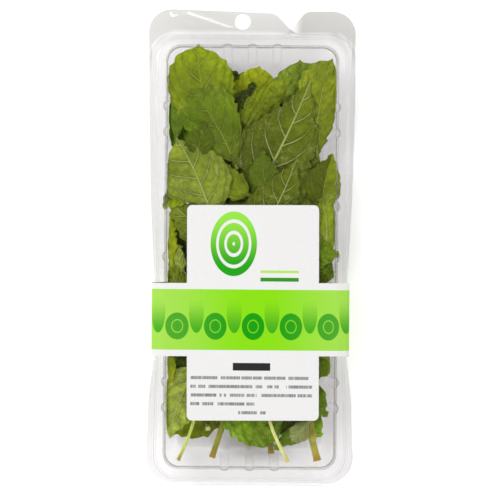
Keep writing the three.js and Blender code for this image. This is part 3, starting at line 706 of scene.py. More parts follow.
sprig(
    "sprig_4", (1.75, 0.8), (0.50, 0.45, 0.06),
    [(28.7, -89.3), (25.9, -75.7), (24, -45), (27, -15), (29.5, 10), (28, 35)],
    leaf(0.16, (10.5, -85), 7, 1.5, "fresh", z=13.5, root=(26, -76.5), shade=(0.6, 0.9)),
    leaf(0.17, (17.8, -80.8), 7.5, 0, "torn", z=19.8, root=(25, -72), keen=0.4, broad=0.6),
    leaf(0.18, (30, -79.5), 7, 1, "fresh", z=14.5, root=(27, -64)),
    leaf(0.30, (32.6, -70.6), 10, 1, "fresh", z=18, root=(22, -53), shade=(0.5, 0.75)),
    leaf(0.36, (32.5, -53.5), 14, -2, "leafy", z=17),
    leaf(0.31, (7, -36), 20, -2, "back"),
    leaf(0.50, (37.4, -2.6), 13, -1, "leafy", z=21.3, lift=1, tuck=1, root=(18, -3), rough=2.5),
    leaf(0.46, (36.6, -11.5), 13, -2, "leafy", z=19.6, root=(19, -11), rough=2, shade=(0.7, 0.9)),
    leaf(0.51, (9, 8), 20, -2, "leafy"),
    leaf(0.62, (33.5, 24), 10, 1, "sun", z=18),
    leaf(0.74, (34, 39.8), 14, -1.5, "sun", z=20.6, fold=0.3, tuck=1, root=(30, 14),
         sides=(0.5, 1.0), shade=(0.6, 0.85)),
    leaf(0.81, (16.2, 71.4), 13, -2, "sun", z=19.0, root=(-6, 44.5), shade=(0.42, 0.84),
         sides=(1.15, 0.9), rough=2.8),
    leaf(1, (33.7, 79.9), 19, -3, "faded", z=19.4, broad=0.63, broad_left=0.66, keen=0.45,
         rough=1.5, shade=(0.52, 1.1)),
    leaf(1, (20, 79.4), 25, 3, "soft", z=17.2, broad=0.6, keen=0.6, root=(13, 50), rough=1.6,
         shade=(0.75, 1.0)),
)
sprig(
    "sprig_5", (0.8, 0.6), (0.62, 0.72, 0.13),
    [(-29.9, -89.5), (-23.4, -72.3), (-19, -45), (-17, -15), (-17.5, 13.7), (-13.5, 33), (-11.5, 52)],
    leaf(0.33, (-33, -32), 15, -3, "back"),
    leaf(0.27, (-33.6, -40), 5, 0, "lemon", z=20.8, root=(-33.2, -57), shade=(1.1, 1.2)),
    leaf(0.26, (-29.5, -43), 14, 0, "deep", z=18.0, root=(-27, -68), shade=(1.0, 1.2)),
    leaf(0.34, (3, -28), 21, 3, "leafy"),
    leaf(0.49, (-34.3, 15), 4.8, 0.5, "lemon", z=19.8, root=(-33.4, -8), teeth=8, bite=1.5, shade=(1.2, 1.1)),
    leaf(0.48, (-30, 1.2), 5, -0.5, "pale", z=20.0, root=(-28.5, -10), shade=(1.15, 1.2)),
    leaf(0.47, (-34.4, -5), 13, -2, "back", z=19.0, root=(-22, -27), rough=1.6, shade=(1.2, 1.4)),
    leaf(0.52, (-31.5, 24), 15, 1, "deep", z=14.5, root=(-26, -14), shade=(0.9, 1.0)),
    leaf(0.55, (-35, 19.0), 18, 1, "back", z=21.0, lift=1, root=(-12, -2), shade=(0.8, 1.0)),
    leaf(0.62, (-37.3, 16.6), 10, 1, "sun", z=21.6, tuck=1, root=(-23, 26), sides=(1.1, 0.5),
         shade=(0.8, 1.2)),
    leaf(0.61, (1, 12), 18, 3, "leafy"),
    leaf(0.66, (-31.6, 45.9), 30, 1.5, "olive", z=22.6, lift=0.6, curl=0.1, lean=-0.17, bite=1.1,
         broad=0.38, broad_left=0.62, keen=0.98, root=(-16, 11), shade=(1.05, 1.2)),
    leaf(0.84, (-19.7, 52.4), 13, -1, "leafy", z=22.7, lift=1.6, root=(-22, 36), shade=(0.45, 0.55)),
    leaf(0.88, (-33.4, 63.5), 5.5, 1, "fresh", z=19.0, root=(-31.8, 45), shade=(0.6, 0.7)),
    leaf(1, (0.1, 69.9), 15, 1, "deep", z=17.3, root=(-4.4, 46), rough=1.8, shade=(0.45, 0.52)),
    leaf(0.70, (-8, 37.5), 18, 2, "leafy", z=18.3, root=(-2, 10), shade=(0.55, 0.65)),
    leaf(0.93, (9, 58), 19, 2, "deep", z=15.5, root=(-4, 26)),
    leaf(0.95, (-11, 62), 17, -2, "deep", z=14.5, root=(-9, 38)),
)
sprig(
    "sprig_6", (0.85, 0.7), (0.82, 0.84, 0.30),
    [(16.2, -89.5), (8.4, -72), (4.5, -45), (3.5, -15), (4.4, 11), (8.7, 37)],
    leaf(0.36, (-15, -25), 22, -2, "leafy"),
    leaf(0.37, (24, -22), 22, 2, "back"),
    leaf(0.58, (-17, 9), 22, -3, "leafy"),
    leaf(0.59, (24, 10), 20, 3, "back"),
    leaf(0.70, (28.6, 22.3), 14, 2, "back", z=21.6, root=(30.5, -4), shade=(1.25, 1.35)),
    leaf(0.71, (34.4, 20), 6, 0, "lemon", z=20.4, root=(34, 4), shade=(0.8, 0.8)),
    leaf(0.72, (37, 27.2), 5, -1, "back", z=21.75, tuck=1, root=(29.5, 13), shade=(1.3, 1.4)),
    leaf(0.74, (-17.5, 37.5), 13, -2, "sun", z=21.4, root=(0.5, 21.5), shade=(0.8, 0.95)),
    leaf(0.80, (24.9, 42.5), 17, -1, "soft", z=19.8, root=(24.5, 10), rough=1.8, shade=(0.75, 0.75)),
    leaf(0.66, (18.3, 36.3), 21.5, 1.0, "back", z=22.9, broad=0.45, broad_left=0.3, lobe=0.95,
         lean=-0.2, keen=1.05, root=(2.5, 3), curl=0.2, bite=1.4, shade=(0.45, 0.66)),
    leaf(0.86, (4.8, 41.2), 11, -1, "leafy", z=22.6, root=(7, 23), keen=1.05, shade=(0.64, 0.74),
         sides=(1.0, 0.85)),
    leaf(0.93, (24.4, 70.4), 31, 1.0, "back", z=20.9, lift=0.9, sides=(0.88, 1.1), broad=0.42,
         broad_left=0.24, lobe=0.95, keen=1.0, root=(2.2, 23.5), lean=-0.10, shade=(0.32, 0.84)),
    leaf(0.90, (-25.5, 66.5), 24, 1.5, "leafy", z=21.9, broad=0.6, keen=0.5, root=(-6, 33), bite=1.2,
         shade=(0.62, 0.90), sides=(0.92, 1.05)),
)


def heap_height(x, y, level):
    """The height of a layer of the heap: level 0 is its underside and level 6 its top."""
    end = max(0.0, y - 30) / 54
    bottom = HEAP_BOTTOM + 0.5 * SWELL * (1 + math.sin(y / 15 + x / 20))
    top = HEAP_TOP + 0.8 * SWELL * math.sin(x / 12 + 0.8) * math.cos(y / 17) - 5 * end * end
    return bottom + (top - bottom) * level / HEAP_LAYERS


def stem_place(points, share):
    """A point of the smooth line through a stem's points, in mm, as the solids have it."""
    last = len(points) - 1
    k = min(int(share * last), last - 1)
    t = share * last - k
    p0, p1, p2, p3 = (points[max(0, min(last, j))] for j in (k - 1, k, k + 1, k + 2))
    v0, v1 = (p2 - p0) / 2, (p3 - p1) / 2
    return (2 * p1 - 2 * p2 + v0 + v1) * t**3 + (-3 * p1 + 3 * p2 - 2 * v0 - v1) * t**2 + v0 * t + p1


def stem_height(x, y, layer):
    """The height of a stem's middle: its place in the heap, a little lower towards the cut end."""
    level = heap_height(x, y, layer + 0.5)
    sink = min(1.0, max(0.0, (-y - 78) / 14))
    return level - 0.14 * (level - 3.4) * sink * sink * (3 - 2 * sink)


def stem_material():
    """Green skin with fine lengthwise streaks, browned at the cut foot unless the bark is pale."""
    material, tree, shader = new_material("mint_stem_skin")
    calc, mix, step = (partial(tool, tree) for tool in (math_node, mixed, ranged))
    place = own_place(tree)
    tint = attribute(tree, "stem_tint")["Vector"]
    run = attribute(tree, "stem_run")["Fac"]
    colour = mix(step(noise_node(tree, place, 160, 4), 0.35, 0.7), tint, (1.25, 1.2, 1.1), "MULTIPLY")
    streak = add_node(tree, "ShaderNodeMapping", {"Vector": place, "Scale": (1, 0.08, 1)}).outputs["Vector"]
    lines = noise_node(tree, streak, 2600, 2)
    colour = mix(step(lines, 0.4, 0.75, 0, 0.45), colour, (0.16, 0.22, 0.04))
    blue = add_node(tree, "ShaderNodeSeparateXYZ", {0: tint}).outputs[2]
    browned = calc("MULTIPLY", step(run, 0.006, 0.036, 1, 0), calc("MULTIPLY_ADD", blue, -2.2, 0.95))
    colour = mix(browned, colour, (0.43, 0.26, 0.03))
    relief = bumped(tree, lines, 0.5, 0.0002)
    feed(tree, shader, {"Base Color": colour, "Roughness": 0.42, "Normal": relief})
    return material


# the tree sweeps a rounded square along a stem's curve, as thick as each point's radius asks
STEM = {"Curve": None, "Corner": 0.45, "Steps": 180, "Bark": (0.4, 0.5, 0.1)}
SQUARE = {"Width": 1.75, "Height": 1.75}
group, start, names = new_tree("mint_stem", STEM)
steps = {"Curve": start["Curve"], "Count": start["Steps"]}
stepped = add_node(group, "GeometryNodeResampleCurve", steps).outputs["Curve"]
run = group.nodes.new("GeometryNodeSplineParameter").outputs["Factor"]
keep = {"Geometry": stepped, "Name": "stem_run", "Value": run}
kept = add_node(group, "GeometryNodeStoreNamedAttribute", keep).outputs["Geometry"]
square = add_node(group, "GeometryNodeCurvePrimitiveQuadrilateral", SQUARE).outputs["Curve"]
softened = {"Curve": square, "Radius": start["Corner"], "Count": 3}
rounded = add_node(group, "GeometryNodeFilletCurve", softened, mode="POLY").outputs["Curve"]
radius = group.nodes.new("GeometryNodeInputRadius").outputs["Radius"]
keep = {"Geometry": swept(group, kept, rounded, radius), "Name": "stem_tint", "Value": start["Bark"]}
tinted = add_node(group, "GeometryNodeStoreNamedAttribute", keep, data_type="FLOAT_VECTOR")
finish_tree(group, tinted.outputs["Geometry"], stem_material())

for name, (layer, (foot, top), bark, stem, leaves, end_lift) in SPRIGS.items():
    data = bpy.data.curves.new(name + "_line", "CURVE")
    data.dimensions = "3D"
    line = data.splines.new("POLY")
    line.points.add(STEM_POINTS - 1)
    knots = [row[0] for row in leaves]
    for k in range(STEM_POINTS):
        share = k / (STEM_POINTS - 1)
        x, y = stem_place(stem, share)
        thick = foot + (top - foot) * share
        thick *= 1 + 0.28 * sum(math.exp(-(((share - at) / 0.009) ** 2)) for at in knots)
        thick *= 1 + 0.12 * math.exp(-((share / 0.02) ** 2))
        sag = 3.0 * max(0.0, share - 0.8) / 0.2 - end_lift * max(0.0, 1 - share / 0.2)
        line.points[k].co = (x * MM, y * MM, (stem_height(x, y, layer) - sag) * MM, 1)
        line.points[k].radius = thick * MM
    source = place_object(name + "_stem", data)
    piece = grown(name + "_stem", source, group, names, {**STEM, "Bark": bark})
    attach(piece, "tray")

# ---------- mint leaves ----------
# Each leaf is a thin blade, downy and crinkled, with a toothed edge: deep veins above, and below a
# paler face on which the midrib and its curved side veins stand out. They lie as they were packed.
# The greens carry painted shade: darker blades within the heap, darker hollows along the veins, and tones set
# along and across each blade.
LEAF_COLOURS = {  # the blade's colour, with painted shade in "deep", and whether its underside lies uppermost
    "sun": ((0.38, 0.50, 0.009), False),
    "lemon": ((0.46, 0.55, 0.004), False),
    "leafy": ((0.24, 0.39, 0.010), False),
    # "deep" is painted shade: the leaf green darkened for blades lying in shade within the heap
    "deep": ((0.085, 0.145, 0.005), False),
    "back": ((0.285, 0.385, 0.013), True),
    "olive": ((0.295, 0.385, 0.040), True),
    "faded": ((0.40, 0.50, 0.025), False),
    "soft": ((0.29, 0.42, 0.035), False),
    "pale": ((0.52, 0.64, 0.105), True),
    "torn": ((0.84, 0.90, 0.42), True),
    "fresh": ((0.36, 0.62, 0.040), False),
}
PETIOLE = 0.09
SIDE_VEINS = 4.5
VEIN_OFFSET = 0.37  # the right side's veins leave the midrib this much of a step from the left's
NET_CELLS, NET_BEND = 3.1, 2.2
LEAF_THICKNESS = 0.26
LEAF_GLOW = 0.24
TOOTH_DEPTH, TOOTH_PITCH = 1.9, 4.8
TIP_TOOTH, TIP_LENGTH = 1.6, 0.06
chance = np.random.default_rng(12)


def kept_inside(x, y, limit):
    """Places eased back so that none lies further out than limit beyond the tray's mouth."""
    out = beyond(MOUTH, x, y)
    soft = 2.0
    past = np.maximum(out - (limit - soft), 0)
    back = past - soft * (1 - np.exp(-past / soft))
    middle_y = np.clip(y, MOUTH[2] + 40, MOUTH[1] - 40)
    span = np.hypot(x, y - middle_y) + 1e-6
    side = np.abs(x) > np.abs(y - middle_y)
    step_x = np.where(side, np.sign(x), x / span)
    step_y = np.where(side, 0, (y - middle_y) / span)
    return x - step_x * back, y - step_y * back


def within_pack(x, y, z):
    """Heights kept between the sheets: above the leaning walls and the ledge, below the lid."""
    out = beyond(MOUTH, x, y)
    low = np.interp(out, [-4.3, -0.4, 0.2], [1.5, 21.6, 21.85])
    high = np.interp(out, [-0.7, 0.5], [23.25, 21.88])
    return np.clip(z, low, np.maximum(high, low))


def leaf_outline(share, width, broad, keen):
    """Half a blade's width at each share of its length, widest at broad, pointed when keen is high,
    with a small tooth of its own at the tip."""
    a = keen * broad / (1 - broad)
    body = np.minimum(share / 0.965, 1)
    oval = body**a * (1 - body) ** keen
    blunt = width / 2 * np.minimum(oval / (broad**a * (1 - broad) ** keen), 15 * (1 - body))
    return np.maximum(blunt, TIP_TOOTH * np.minimum(1, (1 - share) / TIP_LENGTH) * (share > 0.9))


def leaf_mesh(root, tip, width, bend, base_z, more, flipped):
    """Vertices, faces and vein places of one blade, as an open sheet whose upper face looks up,
    or down when the leaf lies flipped. Leaves that show are given a z, and a finer mesh."""
    rows, half_columns = (74, 20) if "z" in more else (50, 13)
    u = np.linspace(0, 1, rows)
    v = np.linspace(-1, 1, 2 * half_columns + 1)
    axis = tip - root
    length = np.linalg.norm(axis)
    right = np.array([axis[1], -axis[0]]) / length
    middle = (root + tip) / 2 + right * bend * 2
    line = np.outer((1 - u) ** 2, root) + np.outer(2 * u * (1 - u), middle) + np.outer(u * u, tip)
    ahead = np.outer(1 - u, middle - root) + np.outer(u, tip - middle)
    ahead /= np.linalg.norm(ahead, axis=1, keepdims=True)
    blade = np.clip((u - PETIOLE) / (1 - PETIOLE), 0, 1)
    broad, keen = more["broad"], more["keen"]
    right_half, left_half = (
        np.maximum(leaf_outline(blade, width, widest, keen), 0.75 * (1 - blade) + 0.1)
        for widest in (broad, more.get("broad_left", broad))
    )
    if "lobe" in more:
        full = width / 2 * (more["lobe"] + (1 - more["lobe"]) * blade / broad)
        full = full * np.clip(blade * 25, 0, 1) ** 0.5
        left_half = np.where(blade < more["broad_left"], np.maximum(left_half, full), left_half)

    U, V = np.meshgrid(u, v, indexing="ij")
    t = np.abs(V)
    teeth = more.get("teeth", round(length / TOOTH_PITCH))
    depth = more.get("bite", TOOTH_DEPTH * min(width / 18, 1))
    depth = depth * (0.8 + 0.45 * np.sin(blade * 17 + chance.uniform(0, 6)))
    depth *= np.clip(np.minimum(blade * 6, (1 - blade) * 9), 0, 1)
    reach = np.zeros_like(U)
    for side in (-1, 1):
        phase = blade * teeth + 0.31 * side + 0.2 * np.sin(blade * 9 + side)
        saw = phase % 1.0
        saw = np.where(saw < 0.78, saw / 0.78, (1 - saw) / 0.22) - 0.5
        reach += np.where(V * side > 0, t**5 * (saw * depth)[:, None], 0)
    sway = 0.05 * width * np.sin(U * 5 + chance.uniform(0, 6)) * t**2 * np.sign(V)
    sway *= np.clip((1 - U) * 4, 0, 1) * np.clip(U * 3, 0, 1)
    half = np.where(V > 0, right_half[:, None], left_half[:, None])
    out = V * half * (1 + more["lean"] * np.sign(V)) + np.sign(V) * reach + sway
    x = line[:, 0:1] + ahead[:, 1:2] * out
    y = line[:, 1:2] - ahead[:, 0:1] * out

    run = SIDE_VEINS * out / length
    sweep = (0.30 * t + 0.34 * t**4) * np.clip(half / (width / 2), 0.3, 1)
    veins = SIDE_VEINS * (blade[:, None] - sweep)
    near = np.abs((veins + np.where(V > 0, VEIN_OFFSET, 0) + 0.5) % 1.0 - 0.5)
    puff = (1 - np.exp(-((near / 0.2) ** 2))) * (1 - np.exp(-((run / 0.16) ** 2)))
    rough = more["rough"]
    quilt = puff * (-0.42 if flipped else 0.16) * rough * np.clip(width / 20, 0.5, 1.2) * np.clip(U * 5, 0, 1)

    phases = chance.uniform(0, 6.3, 6)
    crinkle = 0.28 * rough * np.sin(x * 0.9 + phases[0]) * np.sin(y * 0.8 + phases[1])
    if rough > 1.4:
        fine = np.sin(x * 2.3 + y * 0.7 + phases[5]) * np.sin(y * 2.1 - x * 0.4)
        crinkle += 0.11 * rough * fine * np.clip(U * 6, 0, 1)
    crinkle += 0.55 * np.sin(x * 0.33 + y * 0.21 + phases[2]) * np.sin(y * 0.27 - x * 0.1 + phases[3])
    ruffle = 0.35 * np.sin(U * teeth * 1.3 + phases[4] + V) * t**3
    form = more["lift"] * (U - 0.5) + 1.1 * np.sin(np.pi * U) + more["fold"] * np.abs(out)
    form -= more["curl"] * t**3
    x, y = kept_inside(x, y, 2.6 if more["tuck"] else -0.35)
    z = within_pack(x, y, base_z - 0.6 + form + crinkle + ruffle + quilt)

    grid = np.arange(U.size).reshape(U.shape)
    a, b, c, d = grid[:-1, :-1].ravel(), grid[:-1, 1:].ravel(), grid[1:, 1:].ravel(), grid[1:, :-1].ravel()
    quads = np.stack([d, c, b, a] if flipped else [a, b, c, d], axis=1)
    points = np.stack([x, y, z], axis=-1).reshape(-1, 3) * MM
    return points, quads, np.stack([U, run, veins], axis=-1).reshape(-1, 3)


def leaf_material(name, vein, rib, net, hollow_shade, reach, drawn, pale, vein_colour, relief, rough, gloss):
    """A leaf's face: midrib, side veins and a net of small ones over a patchy, freckled green. Painted shade
    darkens the hollows along its veins, that far out and that dark; relief is how far the veins stand out."""
    material, tree, shader = new_material(name)
    calc, mix, step, noise = (partial(tool, tree) for tool in (math_node, mixed, ranged, noise_node))
    place = own_place(tree)
    marks = add_node(tree, "ShaderNodeSeparateXYZ", {0: attribute(tree, "leaf_run")["Vector"]})
    along, across, row = marks.outputs
    tint = attribute(tree, "leaf_tint")["Vector"]
    far = calc("ABSOLUTE", across)
    near = calc("PINGPONG", calc("MULTIPLY_ADD", calc("GREATER_THAN", across, 0.0), VEIN_OFFSET, row), 0.5)
    near = calc("MULTIPLY_ADD", calc("SUBTRACT", noise(place, 700, 2), 0.5), 0.06, near)
    thin = calc("MULTIPLY_ADD", far, -0.02, vein)
    lateral = step(near, calc("MULTIPLY", thin, 0.4), thin, 1, 0)
    stout = calc("MULTIPLY_ADD", along, -0.056, rib)
    midrib = step(far, calc("MULTIPLY", stout, 0.45), stout, 1, 0)
    cells = [
        calc("MULTIPLY_ADD", noise(place, scale, 1), NET_BEND, calc("MULTIPLY", way, size))
        for way, scale, size in ((along, 330, NET_CELLS * SIDE_VEINS), (across, 270, NET_CELLS))
    ]
    cell_place = add_node(tree, "ShaderNodeCombineXYZ", {0: cells[0], 1: cells[1]}).outputs[0]
    nets = []
    for scale, edge in ((1.0, 0.01), (2.7, 0.0)):
        inputs = {"Vector": cell_place, "Scale": scale}
        walls = add_node(tree, "ShaderNodeTexVoronoi", inputs, feature="DISTANCE_TO_EDGE")
        nets.append(step(walls.outputs["Distance"], edge, 0.12, 1, 0))
    strength = step(noise(place, 120, 1), 0.35, 0.65, 0.08, net)
    small = calc("MAXIMUM", calc("MULTIPLY", nets[0], strength), calc("MULTIPLY", nets[1], 0.10))
    lines = calc("MAXIMUM", calc("MAXIMUM", midrib, calc("MULTIPLY", lateral, 0.92)), small)

    patchy = noise(place, 90, 4, 0.6)
    freckle = noise(place, 520, 3, 0.6)
    cloudy = noise(place, 38, 2)
    colour = mix(step(patchy, 0.3, 0.72), (0.78, 0.80, 0.85), (1.22, 1.16, 1.0))
    colour = mix(1.0, tint, colour, "MULTIPLY")
    speckled = mix(step(freckle, 0.34, 0.66), (0.84, 0.84, 0.84), (1.12, 1.12, 1.1))
    colour = mix(1.0, colour, speckled, "MULTIPLY")
    colour = mix(step(cloudy, 0.46, 0.66, 0, 0.5), colour, (0.15, 0.20, 0.015))
    # painted shade: the green darkens towards the side veins, in their hollows
    shade = {0: colour, "Scale": step(near, 0.0, reach, hollow_shade, 1.05)}
    toned = add_node(tree, "ShaderNodeVectorMath", shade, operation="SCALE").outputs[0]
    colour = mix(calc("MULTIPLY", lines, drawn), toned, mix(pale, tint, vein_colour))
    grain = calc("MULTIPLY_ADD", freckle, 0.35, calc("MULTIPLY", patchy, 0.8))
    bumps = bumped(tree, calc("MULTIPLY_ADD", lines, relief, grain), 1.0, 0.0011)
    feed(tree, shader, {"Base Color": colour, "Roughness": rough, "Normal": bumps})
    feed(tree, shader, {"Specular IOR Level": gloss, "Sheen Weight": 0.01, "Sheen Roughness": 0.4})
    warm = mix(1.0, colour, (1.5, 1.45, 0.6), "MULTIPLY")
    glow = add_node(tree, "ShaderNodeBsdfTranslucent", {"Color": warm})
    surface = shader_mix(tree, LEAF_GLOW, shader.outputs[0], glow.outputs[0])
    feed(tree, tree.nodes["Material Output"], {"Surface": surface})
    return material


leaf_upper = leaf_material(
    "mint_leaf_upper", vein=0.050, rib=0.062, net=0.28, hollow_shade=0.76, reach=0.20, drawn=0.8,
    pale=0.5, vein_colour=(0.70, 0.80, 0.20), relief=-0.5, rough=0.40, gloss=0.09,
)
leaf_under = leaf_material(
    "mint_leaf_under", vein=0.066, rib=0.088, net=0.36, hollow_shade=0.68, reach=0.24, drawn=0.95,
    pale=0.75, vein_colour=(0.66, 0.74, 0.24), relief=0.8, rough=0.55, gloss=0.06,
)
for name, (layer, _, _, stem, rows, _) in SPRIGS.items():
    blades, tints, start = [], [], 0
    for at, tip, width, bend, look, more in rows:
        root = np.array(more.get("root", stem_place(stem, at)))
        level = heap_height(*(root + tip) / 2, layer + 0.5)
        tint, flipped = LEAF_COLOURS[look]
        points, quads, marks = leaf_mesh(root, tip, width, bend, more.get("z", level), more, flipped)
        blades.append((points, quads + start, marks))
        start += len(points)
        # painted light and shade: the tint is scaled from root to tip and on each side of the midrib
        from_root, to_tip = more["shade"]
        fade = from_root + (to_tip - from_root) * marks[:, :1]
        fade *= np.where(marks[:, 1:2] < 0, *more["sides"])
        tints.append(np.array(tint) * fade * chance.uniform(0.94, 1.06))
    points, quads, marks = (np.concatenate(parts) for parts in zip(*blades))
    mesh = new_mesh(name + "_leaves", points.tolist(), quads.tolist(), leaf_upper)
    smooth(mesh)
    store(mesh, "leaf_run", marks)
    store(mesh, "leaf_tint", np.concatenate(tints))
    leaves = place_object(name + "_leaves", mesh)
    thicken(leaves, LEAF_THICKNESS, inner=leaf_under)
    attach(leaves, "tray")
    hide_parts(name)

# ---------- seal label ----------
# One cross of white paper, stuck to the lid: an upright panel with round corners, and a printed
# band that runs across it and falls over the pack's sides, where a slit parts it from its tails.
PAPER = 0.22
PANEL_LEFT, PANEL_RIGHT, PANEL_UP, PANEL_DOWN, PANEL_ROUND = -26.8, 28.2, 18.0, -71.8, 2.2
PANEL_Z = 24.12
BAND_UP, BAND_DOWN = -14.5, -45.0
BAND_PATH = [(35.2, PANEL_Z), (36.6, 24.02), (38.4, 23.5), (40.0, 22.9), (40.7, 22.3), (41.15, 21.6)]
BAND_PATH += [(41.25, 21.1)]
BAND_ROWS = np.linspace(BAND_DOWN, BAND_UP, 9)
PRINT_UP, PRINT_DOWN = -17.2, -42.5
MOTIF_PITCH = 15.76
MOTIF_START = 7.1 + 8 * MOTIF_PITCH
BAND_MIDDLE, FADE_NEAR, FADE_FAR = 2.0, 4, 40  # the band's green pales towards its ends
TEXT_TOP, TEXT_PITCH, TEXT_LEFT = -52.2, 3.62, -24.8
SHOW_THROUGH = 0.1  # how much of the print can be seen on the glued side
LABEL_TURN = math.radians(0.34)
LABEL_MIDDLE, LABEL_SHIFT = -27, 0.3


def paper_material(name, panel, showing=1.0):
    """White label paper with the green band; panel adds the panel's marks, showing fades the print."""
    material, tree, shader = new_material(name)
    calc, mix, step = (partial(tool, tree) for tool in (math_node, mixed, ranged))
    place = own_place(tree)
    run = attribute(tree, "band_run")["Fac"]
    scaled = add_node(tree, "ShaderNodeVectorMath", {0: place, "Scale": 1 / MM}, operation="SCALE").outputs[0]
    x, y, _ = add_node(tree, "ShaderNodeSeparateXYZ", {0: scaled}).outputs
    fibre = noise_node(tree, place, 900, 3)
    paper = mix(step(fibre, 0.3, 0.7), (0.765, 0.755, 0.75), (0.785, 0.776, 0.772))

    def inside(value, low, high, soft=0.05):
        rise = step(value, low - soft, low + soft)
        return calc("MULTIPLY", rise, step(value, high - soft, high + soft, 1, 0))

    def oval(aside, middle_y, half_width, half_height, soft=0.08):
        """1 inside an oval, and how far out a point lies; aside is its distance from the middle."""
        up = calc("MULTIPLY", calc("SUBTRACT", y, middle_y), half_width / half_height)
        span = calc("SQRT", calc("MULTIPLY_ADD", aside, aside, calc("MULTIPLY", up, up)))
        return step(span, half_width - soft, half_width + soft, 1, 0), span

    def bar(left, right, low, high):
        return calc("MULTIPLY", inside(x, left, right), inside(y, low, high))

    wide = calc("ABSOLUTE", calc("SUBTRACT", run, BAND_MIDDLE))
    outward = step(wide, FADE_NEAR, FADE_FAR)
    green = mix(outward, (0.232, 0.675, 0.001), (0.345, 0.68, 0.072))
    dark_green = mix(outward, (0.004, 0.31, 0.001), (0.07, 0.36, 0.02))
    repeat = calc("PINGPONG", calc("ADD", run, MOTIF_START), MOTIF_PITCH / 2)
    tall, _ = oval(repeat, -27.0, 3.1, 8.4)
    motif = mix(tall, green, mix(step(y, -35.5, -20.5), (0.05, 0.38, 0.006), green))
    round_dot, out = oval(calc("SUBTRACT", MOTIF_PITCH / 2, repeat), -32.6, 4.7, 5.6)
    motif = mix(round_dot, motif, dark_green)
    motif = mix(step(calc("ABSOLUTE", calc("SUBTRACT", out, 2.2)), 0.12, 0.3, 0.8, 0), motif, green)
    colour = mix(inside(y, PRINT_DOWN, PRINT_UP), paper, motif)

    if panel:
        mark, span = oval(calc("SUBTRACT", x, -7.2), 1.8, 10.2, 14.2)
        rings = step(calc("PINGPONG", span, 1.7), 0.45, 0.6)
        fade = mix(step(y, -9, 14), (0.01, 0.34, 0.003), (0.28, 0.72, 0.06))
        colour = mix(calc("MULTIPLY", mark, rings), colour, fade)
        colour = mix(bar(4.0, 20.0, -10.3, -9.2), colour, (0.42, 0.74, 0.12))
        colour = mix(bar(4.0, 20.0, -13.8, -12.2), colour, (0.03, 0.27, 0.01))
        row = calc("DIVIDE", calc("SUBTRACT", TEXT_TOP, y), TEXT_PITCH)
        within = calc("FRACT", row)
        strip = calc("MULTIPLY", step(within, 0.30, 0.36), step(within, 0.66, 0.72, 1, 0))
        rows_apart = {0: x, 1: calc("MULTIPLY", calc("FLOOR", row), 9.0)}
        row_place = add_node(tree, "ShaderNodeCombineXYZ", rows_apart).outputs[0]
        words = step(noise_node(tree, row_place, 0.42, 1), 0.40, 0.43)
        strokes = step(noise_node(tree, row_place, 2.2, 2), 0.35, 0.6, 0.55, 0.9)
        whole, short, last = (
            bar(left, right, TEXT_TOP - down * TEXT_PITCH, TEXT_TOP - up * TEXT_PITCH)
            for left, right, up, down in ((TEXT_LEFT, 25.9, 0, 3), (TEXT_LEFT, 2.0, 3, 4), (-4.8, 6.7, 4, 5))
        )
        rows = calc("MAXIMUM", whole, calc("MAXIMUM", short, last))
        for part in (strip, words, strokes):
            rows = calc("MULTIPLY", rows, part)
        colour = mix(rows, colour, (0.16, 0.16, 0.16))
        colour = mix(bar(-7.2, 8.4, -51.0, -47.8), colour, (0.02, 0.02, 0.02))
    if showing < 1:
        colour = mix(showing, paper, colour)
    relief = bumped(tree, fibre, 0.1, 0.00008)
    feed(tree, shader, {"Base Color": colour, "Roughness": 0.55})
    feed(tree, shader, {"Specular IOR Level": 0.15, "Normal": relief})
    return material


def rounded_side(x, up, down, radius, outward):
    """A panel side with its two round corners, from the lower one up, as (x, y) in mm."""
    turns = np.linspace(0, math.pi / 2, 7)
    low = [(x + outward * radius * (math.sin(a) - 1), down + radius * (1 - math.cos(a))) for a in turns]
    high = [(x + outward * radius * (math.cos(a) - 1), up + radius * (math.sin(a) - 1)) for a in turns]
    return low, high


def path_lengths(path, start):
    """How far along the band each point of a path (x, z) lies, in mm from the middle of the pack."""
    steps = [math.dist(a, b) for a, b in zip(path, path[1:])]
    return [start + sum(steps[:k]) for k in range(len(path))]


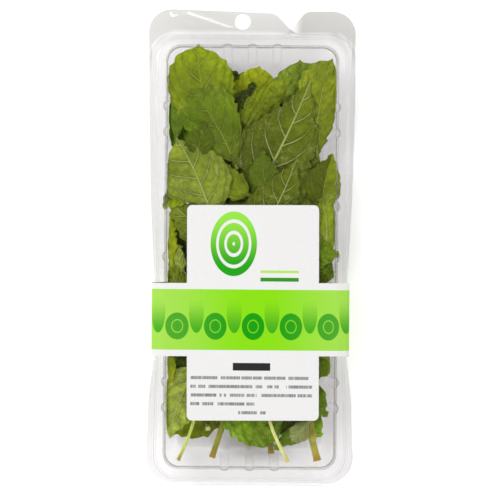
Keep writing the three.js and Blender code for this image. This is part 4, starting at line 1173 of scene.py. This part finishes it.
def seal_mesh(material):
    """The cross as one sheet: the panel's outline with both arms of the band joined on."""
    points, faces, runs = [], [], []

    def put(x, y, z, run):
        points.append((x * MM, y * MM, z * MM))
        runs.append(run)
        return len(points) - 1

    arms = {}
    for side, edge in ((1, PANEL_RIGHT), (-1, PANEL_LEFT)):
        path = [(abs(edge), PANEL_Z), (abs(edge) + 3, PANEL_Z), *BAND_PATH]
        places = zip(path, path_lengths(path, abs(edge)))
        arms[side] = [[put(side * px, y, pz, side * run) for y in BAND_ROWS] for (px, pz), run in places]
        for near, far in zip(arms[side], arms[side][1:]):
            for a, b, c, d in zip(near, far, far[1:], near[1:]):
                faces.append((a, b, c, d) if side > 0 else (d, c, b, a))
    right_low, right_high = rounded_side(PANEL_RIGHT, PANEL_UP, PANEL_DOWN, PANEL_ROUND, 1)
    left_low, left_high = rounded_side(PANEL_LEFT, PANEL_UP, PANEL_DOWN, PANEL_ROUND, -1)
    border = [put(x, y, PANEL_Z, x) for x, y in right_low] + arms[1][0]
    border += [put(x, y, PANEL_Z, x) for x, y in right_high + left_high[::-1]] + arms[-1][0][::-1]
    border += [put(x, y, PANEL_Z, x) for x, y in left_low[::-1]]
    faces.append(tuple(border))
    mesh = new_mesh("seal_label", points, faces, material)
    store(mesh, "band_run", runs)
    return mesh


label_mesh = seal_mesh(paper_material("label_paper_printed", True))
for corner in label_mesh.vertices:  # the label was stuck on slightly askew
    px, py, pz = corner.co
    if abs(px) < 35 * MM:
        px -= LABEL_TURN * (py - LABEL_MIDDLE * MM) - LABEL_SHIFT * MM
        corner.co = (px, py + LABEL_TURN * corner.co.x, pz)
    else:
        corner.co = (px, py + LABEL_TURN * px, pz)
label = place_object("seal_label", label_mesh)
thicken(label, PAPER, inner=paper_material("label_paper_glued", True, SHOW_THROUGH))
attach(label, "lid")
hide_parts("seal_front")

# ---------- seal tails ----------
# The ends of the same band, below the slit: each runs down the tray's side, slants in under it
# and is stuck to the bottom of the tray, where it ends square.
TAIL_PATH = [(41.2, 20.4), (41.15, 19.75), (40.6, 18.9), (37.2, 9.9), (34.6, 3.0), (33.9, 1.1), (33.4, 0.55)]
TAIL_PATH += [(32.6, 0.42), (30.0, 0.40), (26.0, 0.40), (22.0, 0.40)]
SLIT = 0.7
TAIL_START = path_lengths(BAND_PATH, BAND_PATH[0][0])[-1] + SLIT
tail_paper = paper_material("tail_paper_printed", False)
tail_inner = paper_material("tail_paper_glued", False, SHOW_THROUGH)
tail_runs = path_lengths(TAIL_PATH, TAIL_START)
for side, node in ((1, "right"), (-1, "left")):
    node_name = "seal_tail_" + node
    points = [(side * px * MM, y * MM, pz * MM) for px, pz in TAIL_PATH for y in BAND_ROWS]
    grid = np.arange(len(points)).reshape(len(TAIL_PATH), len(BAND_ROWS))
    quads = np.stack([grid[:-1, :-1], grid[1:, :-1], grid[1:, 1:], grid[:-1, 1:]], axis=-1).reshape(-1, 4)
    mesh = new_mesh(node_name + "_paper", points, quads[:, ::side].tolist(), tail_paper)
    store(mesh, "band_run", [side * run for run in tail_runs for y in BAND_ROWS])
    smooth(mesh)
    tail = place_object(node_name + "_paper", mesh)
    thicken(tail, PAPER, inner=tail_inner)
    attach(tail, "tray")
    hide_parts(node_name)
